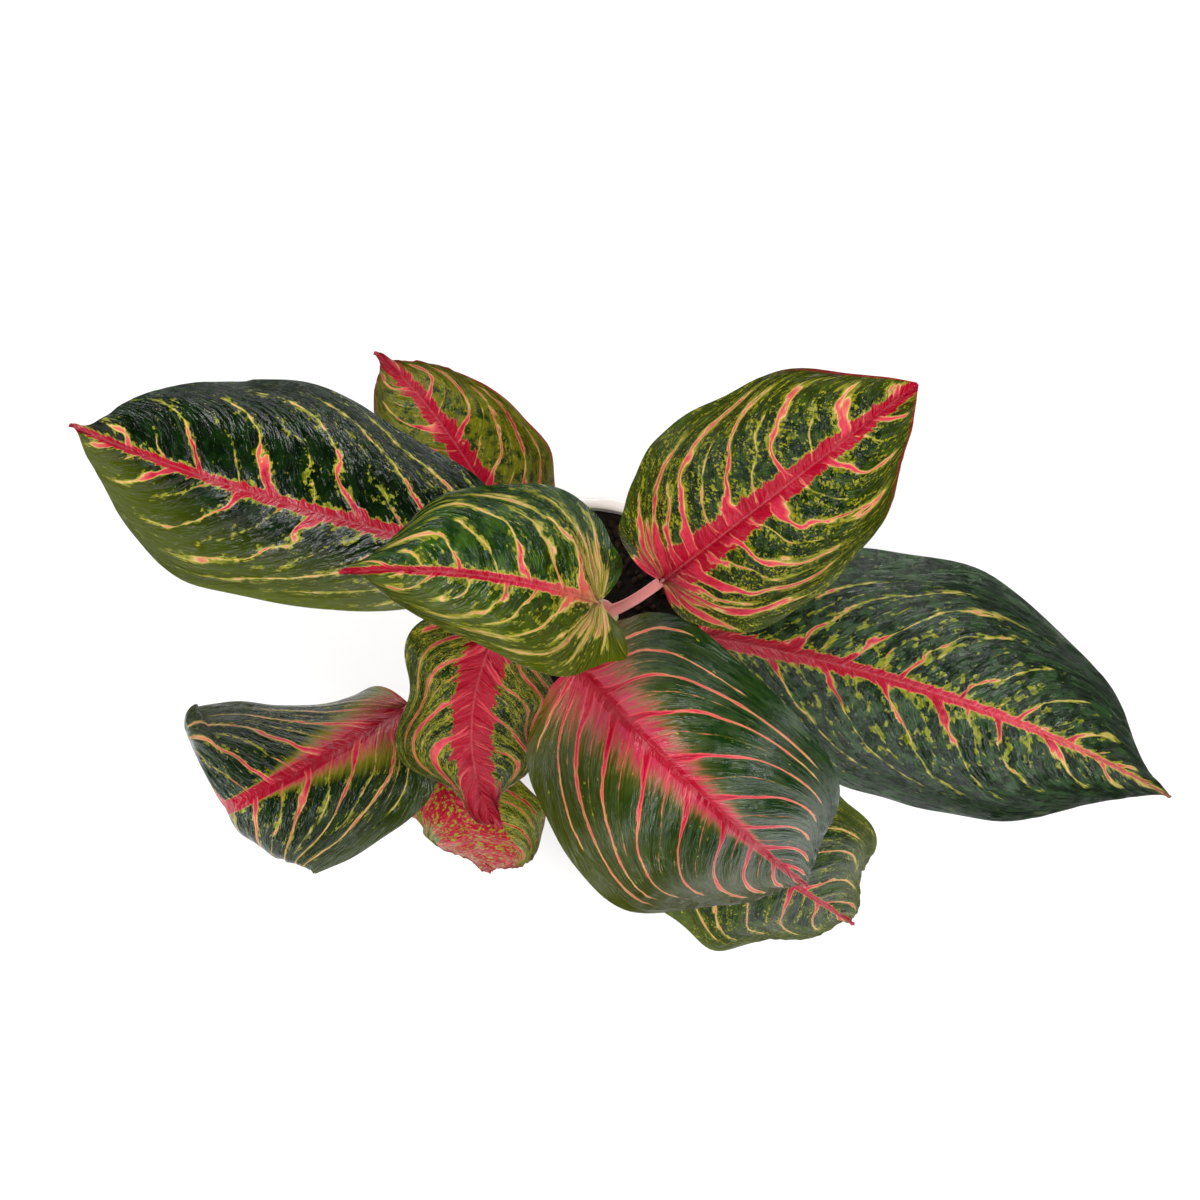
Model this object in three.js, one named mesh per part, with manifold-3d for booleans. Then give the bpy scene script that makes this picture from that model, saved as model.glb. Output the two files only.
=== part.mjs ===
// Potted aglaonema: ten patterned leaves on two short canes, in a round white glazed pot.
// Millimetres, +Z up. The origin is the middle of the pot's flat underside; +X is right, +Y is back.

import * as THREE from 'three';
import { mergeVertices } from 'three/addons/utils/BufferGeometryUtils.js';
import Module from 'manifold-3d';

// Driving dimensions

const GAP = 0.3; // left between pieces that touch
const OVERSHOOT = 1; // how far a hole's cutter runs past the face it opens
const WELD = 1e-4; // corners closer than this are one

const POT = {
  rimRadius: 62.5,
  height: 112,
  footRadius: 43,
  wall: 4,
  floor: 6,
  lipWidth: 5,
  lipHeight: 9,
  lipProud: 1, // how far the lip stands out from the wall
  lipStep: 2, // the height over which the wall steps out to the lip
  lipSegments: 6,
  footRounding: 2,
  drainHoles: 4,
  drainRadius: 4,
  drainRing: 22,
  drainSides: 16,
  segments: 48,
};

const SOIL = {
  level: 100,
  unevenness: 1.6,
  edgeDrop: 3,
  rings: 6,
  humpWidth: 9,
  humpDepth: 11,
  ridgeSpacing: 7,
  ridgeShare: 0.6, // the ridges' height beside that of the humps
};

// Each cane stands in a plain hole in the soil.
const CANES = {
  main: { x: 4, y: 3, radius: 7, foot: 45, top: 180 },
  side: { x: -24, y: -12, radius: 5.5, foot: 55, top: 158 },
};

const CANE = {
  sides: 16,
  nodeSpacing: 9,
  nodeSwell: 0.3,
  nodeHeight: 1.5,
  tipRadius: 2.6,
  tipLength: 24,
};

// `sunk` is how far a petiole runs into its blade, and `depth` how far its end lies below the
// middle of the blade.
const PETIOLE = { footRadius: 3.2, tipRadius: 2, sides: 8, steps: 12, sunk: 9, depth: 0.8 };

const BLADE = {
  thickness: 1,
  keelDepth: 2.2, // how far the midrib stands out below, at the base of the blade
  baseRoundness: 0.9,
  leastHalfWidth: 0.7,
  veinSpread: 1.4, // above 1, the side veins leave the midrib closer together towards the base
  waveShift: 1.9, // how far the waves of the right margin lag behind those of the left, in radians
  rows: 20,
  rowCrowding: 0.6, // 0 spaces the rows evenly, 1 crowds them at the base and the tip
  columns: [-1, -0.76, -0.46, -0.12, 0, 0.12, 0.46, 0.76, 1],
};

// A leaf's blade starts at `base` and is `length` long. `width` is its left and right half, seen
// from above with the tip ahead. Angles are in degrees: `heading` is the compass direction from +X
// towards +Y at the base and how much it turns by the tip, `pitch` the slope of the midrib at the
// base and at the tip, `roll` the tilt sideways at the base and at the tip. The slope changes
// around `bendAt`, over the share `bendOver` of the length. The two halves rise from the midrib
// by `fold` and turn down by `curl` towards the left and right margin. `lobe` is how far the round
// base reaches back past the petiole, `taper` how drawn out the tip is, `belly` how far towards the
// tip the widest place lies. `wave` is the height of the margin's waves, `waves` their number and
// `start` where they begin. The petiole leaves its cane at `foot`: compass direction and height, and
// `reach` is how stiffly it leaves the cane and enters the blade. Past a line across the blade at the
// share `droop.at`, which `droop.turn` sets askew, a drooping blade hangs down by `droop.angle`.
const LEAVES = [
  {
    name: 'leaf_01_left', cane: 'main', foot: [142, 139], reach: [0.5, 0.25],
    base: [-24, 31, 240], length: 205, width: [43, 50],
    heading: [169, -12], pitch: [8, -24], roll: [14, 3], bendAt: 0.35, bendOver: 1.1,
    fold: 20, curl: [15, 50], lobe: 8, taper: 3.3, belly: 0.95, wave: 1.5, waves: 4, start: 0,
  },
  {
    name: 'leaf_02_back_left', cane: 'main', foot: [186, 121], reach: [0.5, 0.25],
    base: [-29, 34, 172], length: 132, width: [36, 32],
    heading: [109, 30], pitch: [55, -38], roll: [12, 18], bendAt: 0.45, bendOver: 0.7,
    fold: 8, curl: [12, 25], lobe: 8, taper: 3.4, belly: 1.35, wave: 1.5, waves: 4, start: 1,
  },
  {
    name: 'leaf_03_top', cane: 'main', foot: [100, 150], reach: [0.5, 0.08],
    base: [6, 15, 292], length: 106, width: [31, 37],
    heading: [161, 23], pitch: [50, -20], roll: [16, 8], bendAt: 0.5, bendOver: 1.1,
    fold: 22, curl: [25, 40], lobe: 26, taper: 3.8, belly: 1.35, wave: 1.5, waves: 4, start: 2,
  },
  {
    name: 'leaf_04_back_right', cane: 'main', foot: [56, 146], reach: [0.5, 0.25],
    base: [29, 23, 282], length: 135, width: [41, 38],
    heading: [38, 0], pitch: [60, 6], roll: [2, -14], bendAt: 0.47, bendOver: 1,
    fold: 22, curl: [12, 25], lobe: 11, taper: 2.2, belly: 1, wave: 1.2, waves: 4, start: 3,
  },
  {
    name: 'leaf_05_right', cane: 'main', foot: [-14, 124], reach: [0.5, 0.25],
    base: [48, 1, 185], length: 220, width: [52, 53],
    heading: [-9, -20], pitch: [20, -23], roll: [9, -11], bendAt: 0.45, bendOver: 0.9,
    fold: 10, curl: [20, 55], lobe: 20, taper: 3.4, belly: 1.2, wave: 1.5, waves: 5, start: 4,
  },
  {
    name: 'leaf_06_front_right', cane: 'main', foot: [236, 134], reach: [0.5, 0.25],
    base: [-3, -10, 232], length: 182, width: [49, 52],
    heading: [-46, 4], pitch: [58, -52], roll: [11, 18], bendAt: 0.42, bendOver: 0.6,
    fold: 20, curl: [30, 14], lobe: 9, taper: 3.4, belly: 1.15, wave: 1.2, waves: 4, start: 5,
  },
  {
    name: 'leaf_07_low_right', cane: 'main', foot: [-80, 118], reach: [0.5, 0.25],
    base: [11, -52, 150], length: 190, width: [47, 47],
    heading: [-35, -4], pitch: [5, -56], roll: [9, 11], bendAt: 0.35, bendOver: 0.8,
    fold: 8, curl: [12, 25], lobe: 13, taper: 3.3, belly: 1.1, wave: 2.2, waves: 5, start: 0.5,
  },
  {
    name: 'leaf_08_front', cane: 'side', foot: [100, 128], reach: [0.5, 0.25],
    base: [-30, 12, 225], length: 107, width: [33, 30],
    heading: [-123, 62], pitch: [8, -38], roll: [-3, 10], bendAt: 0.35, bendOver: 0.95,
    fold: 8, curl: [55, 15], lobe: 10, taper: 3.4, belly: 1.4, wave: 1.5, waves: 4, start: 1.5,
  },
  {
    name: 'leaf_09_low_front', cane: 'side', foot: [240, 116], reach: [0.5, 0.25],
    base: [-71, -45, 160], length: 103, width: [33, 26],
    heading: [-57, -26], pitch: [5, -66], roll: [12, 18], bendAt: 0.35, bendOver: 0.7,
    fold: 8, curl: [37, 55], lobe: 8, taper: 3.3, belly: 1, wave: 1.5, waves: 4, start: 2.5,
  },
  {
    name: 'leaf_10_low_left', cane: 'side', foot: [180, 122], reach: [0.5, 0.25],
    base: [-74, -28, 175], length: 163, width: [47, 46],
    heading: [213, -12], pitch: [30, -16], roll: [45, -26], bendAt: 0.5, bendOver: 1,
    fold: 4, curl: [65, 45], lobe: 4, taper: 2.2, belly: 1.35, wave: 1, waves: 4, start: 3.5,
    droop: { at: 0.45, turn: 7, angle: 85, radius: 12 },
  },
];

// Materials

const FINISHES = {
  glaze: { color: 0xe9e2dd, roughness: 0.18, metalness: 0 },
  soil: { color: 0x1c1512, roughness: 1, metalness: 0 },
  cane: { color: 0x6d7a45, roughness: 0.6, metalness: 0 },
  leaf: { color: 0x2f4a22, roughness: 0.35, metalness: 0 },
};

// Solids

const wasm = await Module();
wasm.setup();

const UP = new THREE.Vector3(0, 0, 1);
const radians = THREE.MathUtils.degToRad;
const mix = THREE.MathUtils.lerp;

function weld(geometry) {
  geometry.deleteAttribute('normal');
  geometry.deleteAttribute('uv');
  return mergeVertices(geometry, WELD);
}

function toSolid(geometry) {
  const welded = weld(geometry);
  return new wasm.Manifold(new wasm.Mesh({
    numProp: 3,
    vertProperties: new Float32Array(welded.attributes.position.array),
    triVerts: new Uint32Array(welded.index.array),
  }));
}

function toGeometry(solid) {
  const mesh = solid.getMesh();
  const geometry = new THREE.BufferGeometry();
  geometry.setAttribute('position', new THREE.BufferAttribute(mesh.vertProperties, 3));
  geometry.setIndex(new THREE.BufferAttribute(mesh.triVerts, 1));
  geometry.computeVertexNormals();
  return geometry;
}

function named(name, geometry, look) {
  const mesh = new THREE.Mesh(geometry, new THREE.MeshStandardMaterial(look));
  mesh.name = name;
  return mesh;
}

// A profile of [radius, height] points turned round the Z axis.
function turned(profile, segments) {
  const points = profile.map(([radius, height]) => new THREE.Vector2(radius, height));
  return new THREE.LatheGeometry(points, segments).rotateX(Math.PI / 2);
}

function uprightCylinder(x, y, radius, bottom, top, sides) {
  const cylinder = new THREE.CylinderGeometry(radius, radius, top - bottom, sides);
  return cylinder.rotateX(Math.PI / 2).translate(x, y, (bottom + top) / 2);
}

// Pot: a tapered shell with a rolled lip and drain holes round the middle of its flat floor

const LIP_BOTTOM = POT.height - POT.lipHeight;

function outerRadius(z) {
  return mix(POT.footRadius, POT.rimRadius - POT.lipProud, z / LIP_BOTTOM);
}

function innerRadius(z) {
  return outerRadius(z) - POT.wall;
}

function makePot() {
  const profile = [
    [0, 0],
    [POT.footRadius - POT.footRounding, 0],
    [outerRadius(POT.footRounding), POT.footRounding],
    [outerRadius(LIP_BOTTOM), LIP_BOTTOM],
    [POT.rimRadius, LIP_BOTTOM + POT.lipStep],
  ];
  const roll = POT.lipWidth / 2;
  for (let segment = 0; segment <= POT.lipSegments; segment += 1) {
    const angle = (segment / POT.lipSegments) * Math.PI;
    profile.push([
      POT.rimRadius - roll + roll * Math.cos(angle),
      POT.height - roll + roll * Math.sin(angle),
    ]);
  }
  profile.push([innerRadius(LIP_BOTTOM), LIP_BOTTOM]);
  profile.push([innerRadius(POT.floor), POT.floor]);
  profile.push([0, POT.floor]);
  let pot = toSolid(turned(profile, POT.segments));
  for (let hole = 0; hole < POT.drainHoles; hole += 1) {
    const angle = ((hole + 0.5) / POT.drainHoles) * 2 * Math.PI;
    const x = POT.drainRing * Math.cos(angle);
    const y = POT.drainRing * Math.sin(angle);
    const cutter = uprightCylinder(
      x, y, POT.drainRadius, -OVERSHOOT, POT.floor + OVERSHOOT, POT.drainSides,
    );
    pot = pot.subtract(toSolid(cutter));
  }
  return toGeometry(pot);
}

// Soil: fills the pot, with a low uneven surface and a hole for each cane

function soilHeight(x, y) {
  const humps = Math.cos(x / SOIL.humpWidth) * Math.cos(y / SOIL.humpDepth);
  const ridges = SOIL.ridgeShare * Math.sin((x + 2 * y) / SOIL.ridgeSpacing);
  return SOIL.level + (SOIL.unevenness / 2) * (humps + ridges);
}

function makeSoil() {
  const bottom = POT.floor + GAP;
  const edge = SOIL.level - SOIL.edgeDrop;
  const edgeRadius = innerRadius(edge) - GAP;
  const profile = [[0, bottom], [innerRadius(bottom) - GAP, bottom], [edgeRadius, edge]];
  for (let ring = 0; ring < SOIL.rings; ring += 1) {
    profile.push([(edgeRadius - SOIL.edgeDrop / 2) * (1 - ring / SOIL.rings), SOIL.level]);
  }
  profile.push([0, SOIL.level]);
  const geometry = weld(turned(profile, POT.segments));
  const position = geometry.attributes.position;
  for (let i = 0; i < position.count; i += 1) {
    if (position.getZ(i) > edge + GAP) {
      position.setZ(i, soilHeight(position.getX(i), position.getY(i)));
    }
  }
  let soil = toSolid(geometry);
  for (const cane of Object.values(CANES)) {
    const top = SOIL.level + SOIL.unevenness + OVERSHOOT;
    const cutter = uprightCylinder(
      cane.x, cane.y, cane.radius + GAP, cane.foot - GAP, top, CANE.sides,
    );
    soil = soil.subtract(toSolid(cutter));
  }
  return toGeometry(soil);
}

// Canes: short ringed stems that end in a pointed bud

function makeCane(cane) {
  const profile = [
    [0, cane.foot],
    [cane.radius, cane.foot],
    [cane.radius, SOIL.level + SOIL.unevenness],
  ];
  const shoulder = cane.top - CANE.tipLength;
  const rings = Math.floor((shoulder - SOIL.level) / CANE.nodeSpacing);
  for (let ring = 1; ring <= rings; ring += 1) {
    const z = SOIL.level + ring * CANE.nodeSpacing;
    profile.push([cane.radius - CANE.nodeSwell, z - CANE.nodeHeight]);
    profile.push([cane.radius, z]);
  }
  profile.push([cane.radius - CANE.nodeSwell, shoulder]);
  profile.push([CANE.tipRadius, cane.top - CANE.tipRadius]);
  profile.push([0, cane.top]);
  return weld(turned(profile, CANE.sides).translate(cane.x, cane.y, 0));
}

// Leaves

function smoothStep(t) {
  const x = THREE.MathUtils.clamp(t, 0, 1);
  return x * x * (3 - 2 * x);
}

// The blade's directions at the share s of its length: along the midrib, to the left, and up.
function bladeFrame(leaf, s) {
  const bent = smoothStep((s - leaf.bendAt + leaf.bendOver / 2) / leaf.bendOver);
  const heading = radians(leaf.heading[0] + leaf.heading[1] * s);
  const pitch = radians(mix(leaf.pitch[0], leaf.pitch[1], bent));
  const along = new THREE.Vector3(
    Math.cos(pitch) * Math.cos(heading),
    Math.cos(pitch) * Math.sin(heading),
    Math.sin(pitch),
  );
  const left = new THREE.Vector3(-Math.sin(heading), Math.cos(heading), 0);
  left.applyAxisAngle(along, radians(mix(leaf.roll[0], leaf.roll[1], s)));
  const up = new THREE.Vector3().crossVectors(along, left);
  return { along, left, up };
}

const MIDRIB_STEPS = 60;

function midribPoints(leaf) {
  const point = new THREE.Vector3(...leaf.base);
  const points = [point.clone()];
  for (let step = 0; step < MIDRIB_STEPS; step += 1) {
    const { along } = bladeFrame(leaf, (step + 0.5) / MIDRIB_STEPS);
    point.addScaledVector(along, leaf.length / MIDRIB_STEPS);
    points.push(point.clone());
  }
  return points;
}

function onMidrib(points, s) {
  const place = THREE.MathUtils.clamp(s, 0, 1) * MIDRIB_STEPS;
  const step = Math.min(Math.floor(place), MIDRIB_STEPS - 1);
  return points[step].clone().lerp(points[step + 1], place - step);
}

// The flat outline: where row u and column v of the blade lie, along the midrib and to the left.
// A row follows a side vein, which leaves the midrib and runs forward to the margin.
function flatPlace(leaf, u, v) {
  const round = Math.sin(Math.PI * u);
  const halfWidth = v >= 0 ? leaf.width[0] : leaf.width[1];
  const reach = halfWidth * round ** mix(BLADE.baseRoundness, leaf.taper, u) + BLADE.leastHalfWidth;
  const atMargin = leaf.length * ((1 - Math.cos(Math.PI * u)) / 2) ** leaf.belly
    - leaf.lobe * round * (1 - u) ** 2;
  const atMidrib = leaf.length * u ** BLADE.veinSpread;
  const out = Math.abs(v);
  return { x: mix(atMidrib, atMargin, (out + out * out) / 2), y: reach * v };
}

// Folds what lies past the droop line down, round an arc.
function drooped(leaf, midrib, point) {
  const { at, turn, angle, radius } = leaf.droop;
  const heading = radians(leaf.heading[0] + leaf.heading[1] * at + turn);
  const outward = new THREE.Vector3(Math.cos(heading), Math.sin(heading), 0);
  const origin = onMidrib(midrib, at);
  const past = point.clone().sub(origin);
  const distance = past.dot(outward);
  if (distance <= 0) return point;
  const rise = past.dot(UP);
  const bent = Math.min(distance / radius, radians(angle));
  const straight = distance - bent * radius;
  const out = radius * Math.sin(bent) + straight * Math.cos(bent) + rise * Math.sin(bent);
  const down = radius * (1 - Math.cos(bent)) + straight * Math.sin(bent) - rise * Math.cos(bent);
  return point.clone()
    .addScaledVector(outward, out - distance)
    .addScaledVector(UP, -down - rise);
}

// A point of the blade's middle surface
function bladePoint(leaf, midrib, u, v) {
  const flat = flatPlace(leaf, u, v);
  const s = flat.x / leaf.length;
  const side = v >= 0 ? 0 : 1;
  const { along, left, up } = bladeFrame(leaf, THREE.MathUtils.clamp(s, 0, 1));
  const fold = radians(leaf.fold);
  const turn = radians(leaf.curl[side]) / leaf.width[side];
  const out = Math.abs(flat.y);
  const sideways = (Math.sin(fold) - Math.sin(fold - turn * out)) / turn;
  const rise = (Math.cos(fold - turn * out) - Math.cos(fold)) / turn;
  const ripple = leaf.wave * Math.abs(v) ** 3 * Math.sin(Math.PI * u)
    * Math.sin(2 * Math.PI * leaf.waves * u + leaf.start + side * BLADE.waveShift);
  const point = onMidrib(midrib, s)
    .addScaledVector(along, Math.min(flat.x, 0))
    .addScaledVector(left, Math.sign(v) * sideways)
    .addScaledVector(up, rise + ripple);
  return leaf.droop ? drooped(leaf, midrib, point) : point;
}

const NORMAL_STEP = 0.01;
const ROW_ENDS = 0.03; // nearer the base and the tip the outline is too pointed for a normal
const MARGIN = 0.98;

function bladeNormal(leaf, midrib, u, v) {
  const step = NORMAL_STEP;
  const row = THREE.MathUtils.clamp(u, ROW_ENDS, 1 - ROW_ENDS);
  const column = THREE.MathUtils.clamp(v, -MARGIN, MARGIN);
  const forward = bladePoint(leaf, midrib, row + step, column)
    .sub(bladePoint(leaf, midrib, row - step, column));
  const across = bladePoint(leaf, midrib, row, column + step)
    .sub(bladePoint(leaf, midrib, row, column - step));
  return forward.cross(across).normalize();
}

// Rows lie closer together at the round base and the drawn-out tip.
function rowShare(row) {
  const even = row / BLADE.rows;
  return mix(even, (1 - Math.cos(Math.PI * even)) / 2, BLADE.rowCrowding);
}

function bladeGeometry(leaf, midrib) {
  const columns = BLADE.columns.length;
  const upper = [];
  const lower = [];
  for (let row = 0; row <= BLADE.rows; row += 1) {
    const u = rowShare(row);
    for (const v of BLADE.columns) {
      const middle = bladePoint(leaf, midrib, u, v);
      const normal = bladeNormal(leaf, midrib, u, v);
      const keel = v === 0 ? BLADE.keelDepth * (1 - u) : 0;
      upper.push(...middle.clone().addScaledVector(normal, BLADE.thickness / 2));
      lower.push(...middle.addScaledVector(normal, -BLADE.thickness / 2 - keel));
    }
  }
  const under = (BLADE.rows + 1) * columns;
  const faces = [];
  for (let row = 0; row < BLADE.rows; row += 1) {
    for (let column = 0; column < columns - 1; column += 1) {
      const a = row * columns + column;
      const b = a + 1;
      const c = a + columns;
      const d = c + 1;
      faces.push(a, c, d, a, d, b);
      faces.push(under + a, under + d, under + c, under + a, under + b, under + d);
    }
  }
  const edge = bladeEdge(columns);
  edge.forEach((from, i) => {
    const to = edge[(i + 1) % edge.length];
    faces.push(from, to, under + to, from, under + to, under + from);
  });
  const geometry = new THREE.BufferGeometry();
  geometry.setAttribute('position', new THREE.Float32BufferAttribute([...upper, ...lower], 3));
  geometry.setIndex(faces);
  return geometry;
}

// The vertices of the upper face in order round its edge: base, left margin, tip, right margin.
function bladeEdge(columns) {
  const last = BLADE.rows * columns;
  const edge = [];
  for (let column = 0; column < columns; column += 1) edge.push(column);
  for (let row = 1; row <= BLADE.rows; row += 1) edge.push(row * columns + columns - 1);
  for (let column = columns - 2; column >= 0; column -= 1) edge.push(last + column);
  for (let row = BLADE.rows - 1; row > 0; row -= 1) edge.push(row * columns);
  return edge;
}

// The petiole climbs from its cane, then turns into the midrib and ends inside the blade.
function petioleCurve(leaf, midrib) {
  const cane = CANES[leaf.cane];
  const azimuth = radians(leaf.foot[0]);
  const stand = cane.radius + GAP + PETIOLE.footRadius;
  const foot = new THREE.Vector3(
    cane.x + stand * Math.cos(azimuth),
    cane.y + stand * Math.sin(azimuth),
    leaf.foot[1],
  );
  const base = midrib[0];
  const { along, up } = bladeFrame(leaf, 0);
  const distance = foot.distanceTo(base);
  const climb = new THREE.CubicBezierCurve3(
    foot,
    foot.clone().addScaledVector(UP, distance * leaf.reach[0]),
    base.clone().addScaledVector(along, -distance * leaf.reach[1]),
    base,
  );
  const points = climb.getPoints(PETIOLE.steps - 1);
  points.push(onMidrib(midrib, PETIOLE.sunk / leaf.length).addScaledVector(up, -PETIOLE.depth));
  return new THREE.CatmullRomCurve3(points);
}

function petioleGeometry(leaf, midrib) {
  const curve = petioleCurve(leaf, midrib);
  const frames = curve.computeFrenetFrames(PETIOLE.steps, false);
  const positions = [];
  const faces = [];
  for (let step = 0; step <= PETIOLE.steps; step += 1) {
    const share = step / PETIOLE.steps;
    const radius = mix(PETIOLE.footRadius, PETIOLE.tipRadius, Math.sqrt(share));
    const centre = curve.getPoint(share);
    for (let side = 0; side < PETIOLE.sides; side += 1) {
      const angle = (side / PETIOLE.sides) * 2 * Math.PI;
      positions.push(...centre.clone()
        .addScaledVector(frames.normals[step], radius * Math.cos(angle))
        .addScaledVector(frames.binormals[step], radius * Math.sin(angle)));
    }
  }
  for (let step = 0; step < PETIOLE.steps; step += 1) {
    for (let side = 0; side < PETIOLE.sides; side += 1) {
      const a = step * PETIOLE.sides + side;
      const b = step * PETIOLE.sides + ((side + 1) % PETIOLE.sides);
      faces.push(a, b, b + PETIOLE.sides, a, b + PETIOLE.sides, a + PETIOLE.sides);
    }
  }
  const last = PETIOLE.steps * PETIOLE.sides;
  for (let side = 1; side < PETIOLE.sides - 1; side += 1) {
    faces.push(0, side + 1, side);
    faces.push(last, last + side, last + side + 1);
  }
  const geometry = new THREE.BufferGeometry();
  geometry.setAttribute('position', new THREE.Float32BufferAttribute(positions, 3));
  geometry.setIndex(faces);
  return geometry;
}

function makeLeaf(leaf) {
  const midrib = midribPoints(leaf);
  const blade = toSolid(bladeGeometry(leaf, midrib));
  return toGeometry(blade.add(toSolid(petioleGeometry(leaf, midrib))));
}

// The whole plant

const plant = new THREE.Group();
plant.add(named('pot', makePot(), FINISHES.glaze));
plant.add(named('soil', makeSoil(), FINISHES.soil));
plant.add(named('cane_main', makeCane(CANES.main), FINISHES.cane));
plant.add(named('cane_side', makeCane(CANES.side), FINISHES.cane));
for (const leaf of LEAVES) {
  plant.add(named(leaf.name, makeLeaf(leaf), FINISHES.leaf));
}

export default plant;
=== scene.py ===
"""Potted aglaonema: the finish of its ten patterned leaves, two canes, soil and glazed pot.

Metres, +Z up. The origin is the middle of the pot's flat underside; +X is right, +Y is back.
The leaf measures are in millimetres, and a length taken from them is multiplied by MM.
"""

import math
import random
from types import SimpleNamespace

import bmesh
import bpy
from mathutils import Matrix, Vector, noise


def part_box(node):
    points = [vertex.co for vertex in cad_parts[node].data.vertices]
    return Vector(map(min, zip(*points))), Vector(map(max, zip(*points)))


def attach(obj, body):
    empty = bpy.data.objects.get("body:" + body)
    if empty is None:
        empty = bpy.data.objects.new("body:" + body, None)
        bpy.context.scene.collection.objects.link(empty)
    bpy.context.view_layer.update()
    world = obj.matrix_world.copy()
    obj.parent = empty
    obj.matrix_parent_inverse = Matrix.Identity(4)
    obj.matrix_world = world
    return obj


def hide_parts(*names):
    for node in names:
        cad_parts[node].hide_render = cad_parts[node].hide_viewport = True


bl_info = {
    "name": "Potted Aglaonema",
    "version": (1, 0, 0),
    "blender": (4, 5, 0),
    "location": "View3D > Sidebar > Aglaonema",
    "description": "Finishes the leaves, canes, soil and pot of an aglaonema round its solids",
    "category": "Add Mesh",
}

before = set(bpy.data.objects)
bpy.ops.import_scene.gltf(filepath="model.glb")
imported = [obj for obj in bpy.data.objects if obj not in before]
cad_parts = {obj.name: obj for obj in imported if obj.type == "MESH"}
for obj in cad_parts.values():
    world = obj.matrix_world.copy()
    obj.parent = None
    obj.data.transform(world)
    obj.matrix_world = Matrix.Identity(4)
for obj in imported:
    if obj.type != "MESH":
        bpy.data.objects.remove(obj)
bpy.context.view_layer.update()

MM = 0.001
POT_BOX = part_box("pot")
SOIL_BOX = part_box("soil")

# Canes, as they stand in the soil: middle, radius, foot and top
CANES = {
    "main": SimpleNamespace(node="cane_main", x=4, y=3, radius=7, foot=45, top=180),
    "side": SimpleNamespace(node="cane_side", x=-24, y=-12, radius=5.5, foot=55, top=158),
}


def leaf(number, name, **changes):
    """A leaf's measures, in millimetres and degrees; most leaves share the ones given here.

    The blade starts at `base` and is `length` long. `width` is its left and right half, seen from
    above with the tip ahead. `heading` is the midrib's direction at the base and how much it
    turns, `pitch` its slope and `roll` the tilt sideways, at the base and at the tip. The slope
    changes around `bend_at`, over the share `bend_over` of the length. The halves rise from the
    midrib by `fold` and turn down by `curl`. `lobe` is how far each half's round base reaches
    back, `taper` how drawn out the tip is, `belly` how far towards the tip the widest place lies.
    `wave` is how far the margin's waves move it out and up, `waves` their number and `start`
    where they begin. `droop` folds the blade down: `at` this share of its length, askew by
    `turn`, by `angle` and round `radius`. The petiole leaves its cane at `foot`, a direction and
    a height; `reach` is how stiffly it leaves the cane and enters the blade.
    """
    values = dict(
        node=f"leaf_{number:02}_{name}", piece=f"{name}_leaf", cane="main", reach=(0.5, 0.25),
        wave=1.5, waves=4, droop=None,
    )
    values.update(changes)
    return SimpleNamespace(**values)


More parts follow.
